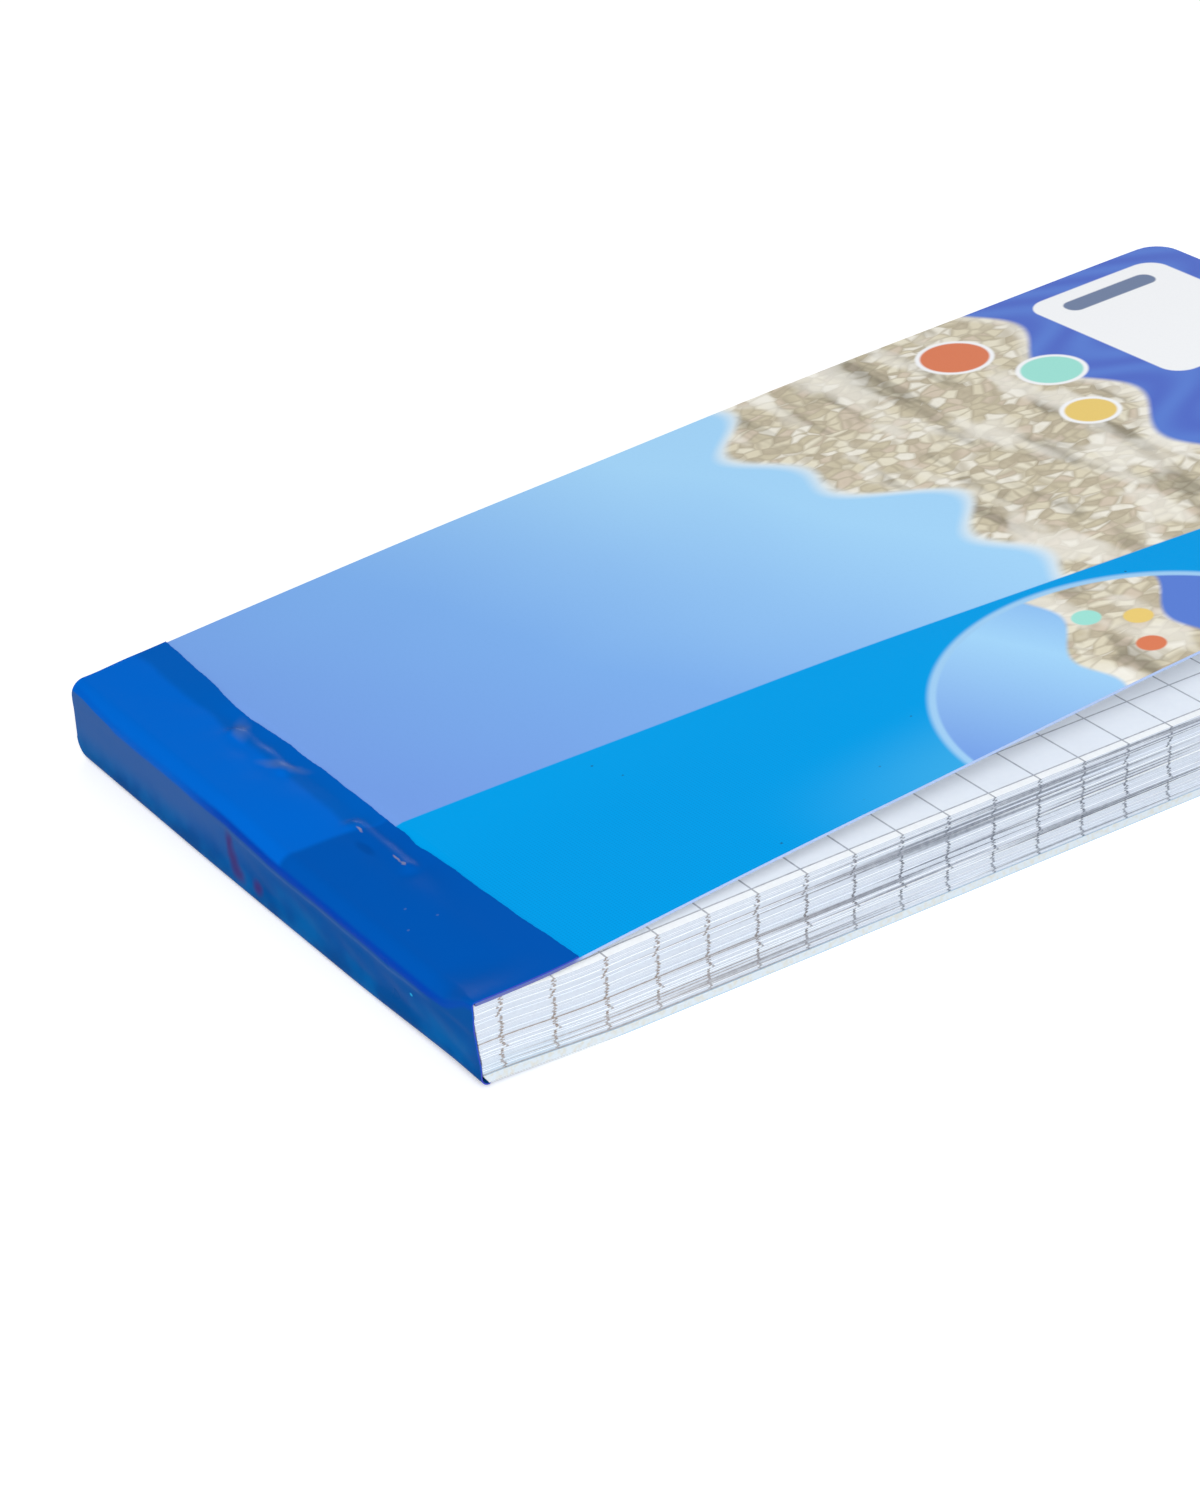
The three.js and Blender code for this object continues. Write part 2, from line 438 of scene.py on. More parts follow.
class Tree:
    """One material's or world's node tree, with short ways to add to it."""

    def __init__(self, owner: Union[bpy.types.Material, bpy.types.World]) -> None:
        """Empties the owner's tree.

        Args:
            owner: The material or world whose nodes these are.
        """
        owner.use_nodes = True
        self.owner = owner
        self.nodes = owner.node_tree.nodes
        self.links = owner.node_tree.links
        self.nodes.clear()

    def node(
        self,
        kind: str,
        settings: Optional[dict[str, Any]] = None,
        inputs: Optional[dict[Union[str, int], Any]] = None,
    ) -> bpy.types.Node:
        """Adds a node.

        Args:
            kind: The node's type.
            settings: Its own settings, set first. Stops, for a ramp, is a list of place and colour.
            inputs: A value, or a Value to link, for each socket by name or number.

        Returns:
            The node.
        """
        node = self.nodes.new(kind)
        for name, setting in (settings or {}).items():
            if name == "stops":
                self.set_stops(node, setting)
            else:
                setattr(node, name, setting)
        for name, term in (inputs or {}).items():
            socket = node.inputs[name]
            if isinstance(term, Value):
                self.links.new(term.socket, socket)
            elif socket.type == "RGBA":
                socket.default_value = (*term, 1.0)
            else:
                socket.default_value = term
        return node

    def set_stops(self, node: bpy.types.Node, stops: list[tuple[float, Colour]]) -> None:
        """Gives a colour ramp its stops.

        Args:
            node: The ramp.
            stops: The place and colour of each stop, in order.
        """
        elements = node.color_ramp.elements
        while len(elements) < len(stops):
            elements.new(1.0)
        for element, (place, colour) in zip(elements, stops):
            element.position = place
            element.color = (*colour, 1.0)

    def math(self, operation: str, *terms: Term) -> Value:
        """What a Math node works out from one or two terms."""
        node = self.node("ShaderNodeMath", {"operation": operation}, dict(enumerate(terms)))
        return Value(self, node.outputs[0])

    def mix(self, low: Term, high: Term, share: Term, way: str = "MIX") -> Value:
        """A mix of two colours, the first at share 0 and the second at share 1."""
        node = self.node(
            "ShaderNodeMix", {"data_type": "RGBA", "blend_type": way}, {0: share, 6: low, 7: high}
        )
        return Value(self, node.outputs[2])

    def ramp(self, place: Value, stops: list[tuple[float, Colour]], way: str = "LINEAR") -> Value:
        """A colour ramp.

        Args:
            place: Where on the ramp, 0 to 1.
            stops: The place and colour of each stop, in order.
            way: How it goes between stops.

        Returns:
            The colour.
        """
        node = self.node("ShaderNodeValToRGB", {"stops": stops}, {"Fac": place})
        node.color_ramp.interpolation = way
        return Value(self, node.outputs["Color"])

    def on_map(self, name: str) -> tuple[Value, Value]:
        """The two coordinates of a UV map."""
        node = self.node("ShaderNodeUVMap", {"uv_map": name})
        parts = self.node("ShaderNodeSeparateXYZ", inputs={0: Value(self, node.outputs["UV"])})
        return Value(self, parts.outputs["X"]), Value(self, parts.outputs["Y"])

    def place(self) -> Value:
        """The Object coordinates, in millimetres."""
        node = self.node("ShaderNodeTexCoord")
        scaled = self.node(
            "ShaderNodeVectorMath",
            {"operation": "SCALE"},
            {0: Value(self, node.outputs["Object"]), "Scale": 1 / MM},
        )
        return Value(self, scaled.outputs["Vector"])

    def parts(self, vector: Value) -> tuple[Value, Value, Value]:
        """The three parts of a vector."""
        node = self.node("ShaderNodeSeparateXYZ", inputs={0: vector})
        return tuple(Value(self, node.outputs[axis]) for axis in ("X", "Y", "Z"))

    def vector(self, x: Term, y: Term, z: Term = 0.0) -> Value:
        """A vector of three parts."""
        node = self.node("ShaderNodeCombineXYZ", inputs={"X": x, "Y": y, "Z": z})
        return Value(self, node.outputs[0])

    def noise(self, place: Value, grain: float, detail: float = 2.0) -> Value:
        """Soft noise, mostly 0.3 to 0.7, whose blots are a grain wide, in millimetres."""
        node = self.node(
            "ShaderNodeTexNoise", inputs={"Vector": place, "Scale": 1 / grain, "Detail": detail}
        )
        return Value(self, node.outputs["Fac"])

    def cells(self, place: Value, size: float, output: str, feature: str = "F1") -> Value:
        """Voronoi cells of a size in millimetres: their distance, or a colour for each."""
        node = self.node(
            "ShaderNodeTexVoronoi", {"feature": feature}, {"Vector": place, "Scale": 1 / size}
        )
        return Value(self, node.outputs[output])

    def tone(self) -> Value:
        """The piece's own tone, a number about 0 kept as an attribute."""
        node = self.node("ShaderNodeAttribute", {"attribute_name": TONE})
        return Value(self, node.outputs["Fac"])

    def bump(self, height: Value, depth: float) -> Value:
        """A normal that stands for heights, 1 being as deep as given in millimetres."""
        node = self.node("ShaderNodeBump", inputs={"Height": height, "Distance": depth * MM})
        return Value(self, node.outputs["Normal"])

    def surface(
        self,
        colour: Term,
        roughness: Term,
        specular: float = 0.5,
        normal: Optional[Value] = None,
        metallic: float = 0.0,
    ) -> bpy.types.Material:
        """Ends the tree in a Principled shader.

        Args:
            colour: Its base colour.
            roughness: Its roughness.
            specular: Its specular level.
            normal: Its normal, where heights stand on it.
            metallic: 1 for metal.

        Returns:
            The material.
        """
        inputs = {
            "Base Color": colour,
            "Roughness": roughness,
            "Specular IOR Level": specular,
            "Metallic": metallic,
        }
        if normal is not None:
            inputs["Normal"] = normal
        self.end("ShaderNodeOutputMaterial", self.node("ShaderNodeBsdfPrincipled", inputs=inputs))
        return self.owner

    def end(self, kind: str, shader: bpy.types.Node) -> None:
        """Links a shader to the tree's output node."""
        self.links.new(shader.outputs[0], self.node(kind).inputs["Surface"])


@dataclass(frozen=True)
class PaperFinish:
    """Squared writing paper. The print map's two coordinates are millimetres across and along
    the sheet's own print, so a ruling line that meets a trimmed edge shows there too."""

    name: str
    white: Colour
    shade: Colour
    ink_head: Colour
    ink_foot: Colour
    line: float
    strength: float
    uneven: float = 0.0
    # band is a painted highlight: the whiter colour along the near rim, outside the last ruling line.
    band: Optional[Colour] = None
    # Painted blue bounce light, low on the cut edges near the head.
    tint: Optional[Colour] = None
    streak: float = 1.0
    pitch: float = 5.0
    soft: float = 0.06
    fibre: float = 0.5
    fibre_detail: float = 3.0
    cloud: float = 9.0
    mottle: float = 0.5
    least_ink: float = 0.5
    fibres_in_ink: float = 0.6
    turns_grey: Span = (8.0, 45.0)
    highlight_band_edge: Span = (0.2, -0.2)
    tint_along: Span = (54.0, 66.0)
    tint_up: Span = (3.6, 0.8)
    roughness: float = 0.82
    specular: float = 0.2
    relief: float = 0.01

    @classmethod
    def faces(cls) -> "PaperFinish":
        """The sheets' two faces: lavender white, with a painted highlight that makes them whiter
        outside the last ruling line, at the near rim.
        """
        return cls(
            name="squared_paper",
            white=rgb(240, 246, 253),
            shade=rgb(226, 234, 246),
            ink_head=rgb(96, 100, 118),
            ink_foot=rgb(84, 94, 116),
            line=0.16,
            strength=0.8,
            # Painted highlight along the lit near rim.
            band=rgb(249, 252, 254),
        )

    @classmethod
    def cut_edges(cls) -> "PaperFinish":
        """The sheets' cut edges, where the ruling shows as dots that add up to lines, in a darker copy
        of the faces' white as painted shade between the sheets.
        """
        return cls(
            name="paper_edges",
            # Painted shade: the edges' white and shade are darker than the faces' own white.
            white=rgb(194, 202, 213),
            shade=rgb(176, 185, 200),
            ink_head=rgb(128, 112, 100),
            ink_foot=rgb(76, 82, 96),
            line=0.28,
            strength=0.95,
            uneven=3.0,
            # Painted blue bounce light near the head, low down.
            tint=rgb(140, 180, 204),
            streak=0.8,
        )

    def material(self) -> bpy.types.Material:
        """Makes the material: white with faint fibres, ruled with squares."""
        tree = Tree(bpy.data.materials.new(self.name))
        across, along = tree.on_map(PRINT_MAP)
        place = tree.place()
        fibres = tree.noise(place, self.fibre, self.fibre_detail)
        clouds = tree.noise(place, self.cloud)
        edges = (self.line / 2 + self.soft, self.line / 2 - self.soft)
        lengthwise = across.to_line(self.pitch).rise(*edges) * self.streak
        ruled = lengthwise.most(along.to_line(self.pitch).rise(*edges))
        taken = fibres * self.fibres_in_ink + self.least_ink + tree.tone() * self.uneven
        worn = ruled * taken.least(1.0) * self.strength
        mottled = clouds * self.mottle + fibres * self.mottle + tree.tone() - self.mottle / 2
        body = tree.mix(self.white, self.shade, mottled)
        # Painted highlight: whiter between the last ruling line and the near rim, where the rim catches
        # the light.
        if self.band:
            body = tree.mix(body, self.band, across.rise(*self.highlight_band_edge))
        # Painted blue bounce light: bluer low down near the head, in cloudy patches.
        if self.tint:
            _, y, z = tree.parts(place)
            tinted = y.rise(*self.tint_along) * z.rise(*self.tint_up) * clouds
            body = tree.mix(body, self.tint, tinted)
        ink = tree.mix(self.ink_head, self.ink_foot, along.rise(*self.turns_grey))
        colour = tree.mix(body, ink, worn)
        return tree.surface(colour, self.roughness, self.specular, tree.bump(fibres, self.relief))


@dataclass(frozen=True)
class Spot:
    """A point of the print: its places across the pad and from its head, in millimetres."""

    tree: Tree
    across: Value
    along: Value
    place: Value


@dataclass(frozen=True)
class Wave:
    """A wave of the print: its height times the sine of its rate times the place."""

    rate: float
    height: float
    start: float = 0.0

    def over(self, place: Value) -> Value:
        """The wave's height at a place, in millimetres."""
        turned = place * self.rate
        if self.start:
            turned = turned + self.start
        return turned.sine() * self.height


@dataclass(frozen=True)
class Disc:
    """A plain disc of the print, in millimetres across the pad and from its head."""

    across: float
    along: float
    radius: float
    paint: Colour
    ring: Optional[Colour] = None
    ring_width: float = 0.5
    soft: float = 0.2

    def draw(self, under: Value, spot: Spot) -> Value:
        """Draws the disc, with its ring round it.

        Args:
            under: The colour that it lies on.
            spot: The point of the print.

        Returns:
            The colour with the disc on it.
        """
        away = length(spot.across - self.across, spot.along - self.along)
        colour = under
        if self.ring:
            edge = self.radius + self.ring_width
            ringed = away.rise(edge + self.soft, edge - self.soft)
            colour = spot.tree.mix(colour, self.ring, ringed)
        inside = away.rise(self.radius + self.soft, self.radius - self.soft)
        return spot.tree.mix(colour, self.paint, inside)


@dataclass(frozen=True)
class Panel:
    """A plain panel of the print with round corners, in millimetres."""

    across: float
    along: float
    half_across: float
    half_along: float
    corner: float
    paint: Colour
    soft: float = 0.15

    def draw(self, under: Value, spot: Spot) -> Value:
        """Draws the panel. A point is outside it by the length of what it is past each side's
        straight part, less the corner's radius.

        Args:
            under: The colour that it lies on.
            spot: The point of the print.

        Returns:
            The colour with the panel on it.
        """
        over_x = ((spot.across - self.across).size() - (self.half_across - self.corner)).most(0.0)
        over_s = ((spot.along - self.along).size() - (self.half_along - self.corner)).most(0.0)
        outside = length(over_x, over_s) - self.corner
        return spot.tree.mix(under, self.paint, outside.rise(self.soft, -self.soft))


@dataclass(frozen=True)
class Pebbles:
    """A printed bank of packed pebbles, in millimetres."""

    stones: tuple[Colour, ...] = (
        rgb(176, 164, 142),
        rgb(196, 186, 160),
        rgb(208, 192, 176),
        rgb(222, 214, 190),
        rgb(236, 231, 212),
        rgb(247, 245, 237),
    )
    middle: int = 3
    grout: Colour = rgb(180, 170, 148)
    shaded: Colour = rgb(110, 104, 90)
    size: float = 1.25
    stretch: tuple[float, float, float] = (1.0, 0.7, 1.0)
    bend_size: float = 4.0
    bend_across: float = 2.0
    bend_along: float = 1.2
    mottle_size: float = 0.9
    mottled: float = 0.7
    joint: Span = (0.22, 0.0)
    jointed: float = 0.6
    bank_size: float = 4.6
    bank_stretch: float = 0.3
    bank_bend: float = 3.0
    bank: Span = (0.5, 0.68)
    banked: float = 0.62
    pale_size: float = 6.5
    pale_stretch: float = 0.5
    pale_bend: float = 4.0
    pale_shift: float = 40.0
    pale: Span = (0.5, 0.64)
    paled: float = 0.6
    fine_detail: float = 3.0

    def colour(self, spot: Spot) -> Value:
        """The pebbles, each of its own stone colour, with darker joints, shaded banks between
        them and pale ones."""
        tree, across, along = spot.tree, spot.across, spot.along
        bend = tree.noise(spot.place, self.bend_size, 1.0)
        bent = tree.vector(bend * self.bend_across, bend * self.bend_along)
        stretched = tree.node(
            "ShaderNodeVectorMath",
            {"operation": "MULTIPLY_ADD"},
            {0: spot.place, 1: self.stretch, 2: bent},
        )
        place = Value(tree, stretched.outputs["Vector"])
        own = tree.parts(tree.cells(place, self.size, "Color"))[0]
        steps = [(number / len(self.stones), stone) for number, stone in enumerate(self.stones)]
        stone = tree.ramp(own, steps, "CONSTANT")
        blots = tree.noise(spot.place, self.mottle_size, self.fine_detail)
        colour = tree.mix(stone, self.stones[self.middle], blots * self.mottled)
        edge = tree.cells(place, self.size, "Distance", "DISTANCE_TO_EDGE")
        colour = tree.mix(colour, self.grout, edge.rise(*self.joint) * self.jointed)
        drawn = tree.vector(across * self.bank_stretch + bend * self.bank_bend, along)
        bank = tree.noise(drawn, self.bank_size, self.fine_detail)
        colour = tree.mix(colour, self.shaded, bank.rise(*self.bank) * self.banked)
        drawn = tree.vector(
            across * self.pale_stretch - bend * self.pale_bend, along + self.pale_shift
        )
        pale = tree.noise(drawn, self.pale_size)
        return tree.mix(colour, self.stones[-1], pale.rise(*self.pale) * self.paled)


@dataclass(frozen=True)
class RoundWindow:
    """The print's round window at the near long edge, with a small shore of its own."""

    rim: Colour = rgb(160, 206, 244)
    glow: Colour = rgb(60, 172, 232)
    centre: tuple[float, float] = (-37.0, 70.0)
    rim_edge: Span = (20.6, 19.9)
    inner_edge: Span = (19.7, 19.3)
    glow_away: Span = (40.0, 20.0)
    glow_across: Span = (-24.0, -35.0)
    glowing: float = 0.8
    edge_across: float = 35.0
    sky_from: float = 50.0
    sky_length: float = 34.0
    sky_lean: float = 0.012
    sky_pale_at: float = 0.6
    shore: Wave = Wave(0.5, 1.2)
    shore_lean: float = 0.3
    pebbles_from: Span = (66.0, 66.8)
    sea_from: Span = (77.0, 77.8)

    def draw(self, under: Value, spot: Spot, inside: Value) -> Value:
        """Draws the window with its pale rim and the glow round it.

        Args:
            under: The colour that it lies on.
            spot: The point of the print.
            inside: The colour seen in it.

        Returns:
            The colour with the window on it.
        """
        tree = spot.tree
        away = length(spot.across - self.centre[0], spot.along - self.centre[1])
        glow = away.rise(*self.glow_away) * spot.across.rise(*self.glow_across)
        colour = tree.mix(under, self.glow, glow * self.glowing)
        colour = tree.mix(colour, self.rim, away.rise(*self.rim_edge))
        return tree.mix(colour, inside, away.rise(*self.inner_edge))


@dataclass(frozen=True)
class CoverFinish:
    """The printed front of the cover. The print map's coordinates are millimetres across the
    pad and from its head."""

    name: str = "printed_cover"
    sky_near: Colour = rgb(116, 158, 230)
    sky_mid: Colour = rgb(126, 176, 238)
    sky_far: Colour = rgb(164, 214, 251)
    sky_from: float = 10.0
    sky_to: float = 72.0
    sky_lean: float = 0.3
    sky_mid_at: float = 0.45
    cloud_size: float = 26.0
    clouded: float = 0.16
    cyan: Colour = rgb(0, 158, 232)
    cyan_deep: Colour = rgb(0, 142, 218)
    split_x: float = -6.3
    split_slope: float = -0.13
    split_soft: float = 0.12
    dot_pitch: float = 0.28
    dots_along: Span = (62.0, 26.0)
    dots_across: Span = (-8.0, -22.0)
    deeper_along: Span = (20.0, 120.0)
    deeper: float = 0.2
    speck: Colour = rgb(30, 70, 110)
    speck_apart: float = 3.6
    speck_edge: Span = (0.045, 0.02)
    specked: float = 0.7
    grain_size: float = 0.35
    grained: float = 0.06
    pebbles: Pebbles = Pebbles()
    foam: Colour = pebbles.stones[-1]
    shore: tuple[Wave, Wave] = (Wave(0.42, 2.2), Wave(0.19, 2.6, 1.0))
    shore_lean: float = 0.18
    shore_foam: Span = (75.0, 77.2)
    shore_foamed: float = 0.6
    pebbles_from: Span = (76.4, 78.0)
    sea: Colour = rgb(92, 128, 214)
    sea_deep: Colour = rgb(84, 112, 204)
    swell: Wave = Wave(0.31, 2.4, 2.0)
    swell_bend: float = 2.0
    swell_rate: float = 0.8
    sea_lean: float = 0.08
    sea_foam: Span = (102.4, 104.2)
    sea_foamed: float = 0.5
    sea_from: Span = (104.0, 105.2)
    coral: Colour = rgb(222, 128, 92)
    mint: Colour = rgb(160, 228, 216)
    sand: Colour = rgb(236, 206, 120)
    slate: Colour = rgb(116, 132, 164)
    white: Colour = rgb(247, 249, 252)
    shapes: tuple[Union[Disc, Panel], ...] = (
        Disc(27.5, 99.5, 3.6, coral, white),
        Disc(18.0, 104.5, 3.2, mint, white),
        Disc(8.0, 101.0, 2.6, sand, white),
        Panel(20.0, 121.5, 12.0, 9.0, 2.5, white),
        Panel(28.5, 121.5, 1.3, 6.0, 1.2, slate),
    )
    window: RoundWindow = RoundWindow()
    window_shapes: tuple[Disc, ...] = (
        Disc(-31.0, 74.0, 1.35, coral, soft=0.15),
        Disc(-26.5, 76.5, 1.35, sand, soft=0.15),
        Disc(-23.5, 73.0, 1.35, mint, soft=0.15),
    )
    roughness: float = 0.28
    smear_size: float = 12.0
    smeared: float = 0.08
    specular: float = 0.005
    relief: float = 0.02
    relief_size: float = 6.0

    def material(self) -> bpy.types.Material:
        """Makes the material: two colour fields, a field of pebbles with a wavy shore, a deep
        blue field with three plain discs, a bare white panel, and a round window at the edge."""
        tree = Tree(bpy.data.materials.new(self.name))
        across, along = tree.on_map(PRINT_MAP)
        spot = Spot(tree, across, along, tree.vector(across, along))
        split = across - (along * self.split_slope + self.split_x)
        upper = split.rise(-self.split_soft, self.split_soft)
        colour = tree.mix(self.lower_field(spot), self.upper_field(spot), upper)
        grain = tree.noise(spot.place, self.grain_size, 1.0) - 0.5
        colour = tree.mix(colour, self.speck, grain.most(0.0) * self.grained)
        roughness = self.roughness + tree.noise(spot.place, self.smear_size) * self.smeared
        relief = tree.bump(tree.noise(spot.place, self.relief_size, 1.0), self.relief)
        return tree.surface(colour, roughness, self.specular, relief)

    def sky(self, spot: Spot) -> Value:
        """The upper field's blue, lavender at the head and paler towards the middle."""
        lean = spot.across * self.sky_lean
        far = (spot.along - self.sky_from + lean) / (self.sky_to - self.sky_from)
        clouds = spot.tree.noise(spot.place, self.cloud_size, 1.0) * self.clouded
        steps = [(0.0, self.sky_near), (self.sky_mid_at, self.sky_mid), (1.0, self.sky_far)]
        return spot.tree.ramp(far + (clouds - self.clouded / 2), steps)

    def upper_field(self, spot: Spot) -> Value:
        """The blue, then pebbles behind a wavy shore, then deep blue with its plain shapes."""
        mix, across = spot.tree.mix, spot.across
        waves = self.shore[0].over(across) + self.shore[1].over(across)
        shore = spot.along - waves + across * self.shore_lean
        colour = mix(self.sky(spot), self.foam, shore.rise(*self.shore_foam) * self.shore_foamed)
        colour = mix(colour, self.pebbles.colour(spot), shore.rise(*self.pebbles_from))
        swell = self.swell.over(across)
        sea_at = spot.along + swell - across * self.sea_lean
        colour = mix(colour, self.foam, sea_at.rise(*self.sea_foam) * self.sea_foamed)
        deep = (spot.along * self.swell_rate + swell * self.swell_bend).sine() * 0.5 + 0.5
        sea = mix(self.sea, self.sea_deep, deep)
        colour = mix(colour, sea, sea_at.rise(*self.sea_from))
        for shape in self.shapes:
            colour = shape.draw(colour, spot)
        return colour

    def lower_field(self, spot: Spot) -> Value:
        """The lower field, plain cyan with faint printer's dots and specks, and its window."""
        tree, across, along = spot.tree, spot.across, spot.along
        half = self.dot_pitch / 2
        dots = across.to_line(self.dot_pitch).rise(0.0, half)
        dots = dots * along.to_line(self.dot_pitch).rise(0.0, half)
        near = along.rise(*self.dots_along) * across.rise(*self.dots_across)
        deeper = dots * near + along.rise(*self.deeper_along) * self.deeper
        colour = tree.mix(self.cyan, self.cyan_deep, deeper)
        specks = tree.cells(spot.place, self.speck_apart, "Distance").rise(*self.speck_edge)
        colour = tree.mix(colour, self.speck, specks * self.specked)
        return self.window.draw(colour, spot, self.in_window(spot))

    def in_window(self, spot: Spot) -> Value:
        """What the round window shows: blue, pebbles and sea, with small plain discs."""
        mix, window = spot.tree.mix, self.window
        inset = spot.across + window.edge_across
        far = (spot.along - window.sky_from) / window.sky_length + inset * window.sky_lean
        steps = [(0.0, self.sky_near), (window.sky_pale_at, self.sky_far), (1.0, self.sky_mid)]
        colour = spot.tree.ramp(far, steps)
        shore = spot.along - window.shore.over(spot.across) - inset * window.shore_lean
        colour = mix(colour, self.pebbles.colour(spot), shore.rise(*window.pebbles_from))
        colour = mix(colour, self.sea, shore.rise(*window.sea_from))
        for shape in self.window_shapes:
            colour = shape.draw(colour, spot)
        return colour


@dataclass(frozen=True)
class CardFinish:
    """Uncoated card: the cover's inside and its cut edges."""

    name: str
    white: Colour
    fleck: Colour
    taped: Optional[Colour] = None
    taped_from: Span = (56.2, 57.6)
    fibre: float = 0.4
    fibre_detail: float = 3.0
    fibred: float = 0.6
    cloud: float = 7.0
    clouded: float = 0.3
    roughness: float = 0.7
    specular: float = 0.25
    relief: float = 0.012

    @classmethod
    def inside(cls) -> "CardFinish":
        """The cover's inner face."""
        return cls("card_white", rgb(236, 238, 241), rgb(214, 216, 222))

    @classmethod
    def cut_edge(cls) -> "CardFinish":
        """The cover's cut edges, which take up some of the print's blue, and are a deeper blue where
        the tape lies over them.
        """
        return cls("card_edge", rgb(172, 190, 224), rgb(140, 164, 208), rgb(92, 100, 160))

    def material(self) -> bpy.types.Material:
        """Makes the material: off-white with soft flecks."""
        tree = Tree(bpy.data.materials.new(self.name))
        place = tree.place()
        fibres = tree.noise(place, self.fibre, self.fibre_detail)
        flecks = fibres * self.fibred + tree.noise(place, self.cloud) * self.clouded
        colour = tree.mix(self.white, self.fleck, flecks)
        if self.taped:
            colour = tree.mix(colour, self.taped, tree.parts(place)[1].rise(*self.taped_from))
        return tree.surface(colour, self.roughness, self.specular, tree.bump(fibres, self.relief))


@dataclass(frozen=True)
class BoardFinish:
    """Backing board: a pale grey core between pale blue facings."""

    name: str
    layered: bool
    core: Colour = rgb(196, 206, 214)
    cream: Colour = rgb(196, 198, 194)
    facing: Colour = rgb(158, 186, 208)
    cloudy: Colour = rgb(170, 194, 212)
    fibre: float = 0.45
    fibre_detail: float = 3.0
    fibred: float = 0.7
    cloud: float = 6.0
    clouded: float = 0.3
    creamy: Span = (0.42, 0.68)
    facing_to: Span = (0.06, 0.16)
    facing_wander: float = 0.12
    roughness: float = 0.75
    specular: float = 0.25
    relief: float = 0.015

    @classmethod
    def faces(cls) -> "BoardFinish":
        """The board's two faces."""
        return cls("board_facing", False)

    @classmethod
    def cut_edges(cls) -> "BoardFinish":
        """The board's cut edges, where its layers show."""
        return cls("layered_board", True)

    def material(self) -> bpy.types.Material:
        """Makes the material, layered by height on the edges."""
        tree = Tree(bpy.data.materials.new(self.name))
        place = tree.place()
        fibres = tree.noise(place, self.fibre, self.fibre_detail)
        slow = tree.noise(place, self.cloud)
        clouds = fibres * self.fibred + slow * self.clouded
        colour = tree.mix(self.facing, self.cloudy, clouds)
        if self.layered:
            core = tree.mix(self.core, self.cream, fibres.rise(*self.creamy))
            height = tree.parts(place)[2] + (slow - 0.5) * self.facing_wander
            colour = tree.mix(colour, core, height.rise(*self.facing_to))
        return tree.surface(colour, self.roughness, self.specular, tree.bump(fibres, self.relief))


@dataclass(frozen=True)
class Oval:
    """A small oval mark, by its middle and half its size each way, in millimetres."""

    middle_x: float
    middle_y: float
    half_x: float
    half_y: float
    lean: float = 0.0

    def away(self, x: Value, y: Value) -> Value:
        """How far a point is from the middle, over the half sizes: 1 on the oval itself."""
        return length((x - self.middle_x) / self.half_x, (y - self.middle_y) / self.half_y)


@dataclass(frozen=True)
class TapePoint:
    """A point of the tape: its place in millimetres, its wrap coordinate, and the coarse and
    fine noise there, taken about 0."""

    tree: Tree
    place: Value
    x: Value
    y: Value
    z: Value
    wrap: Value
    soft: Value
    fine: Value


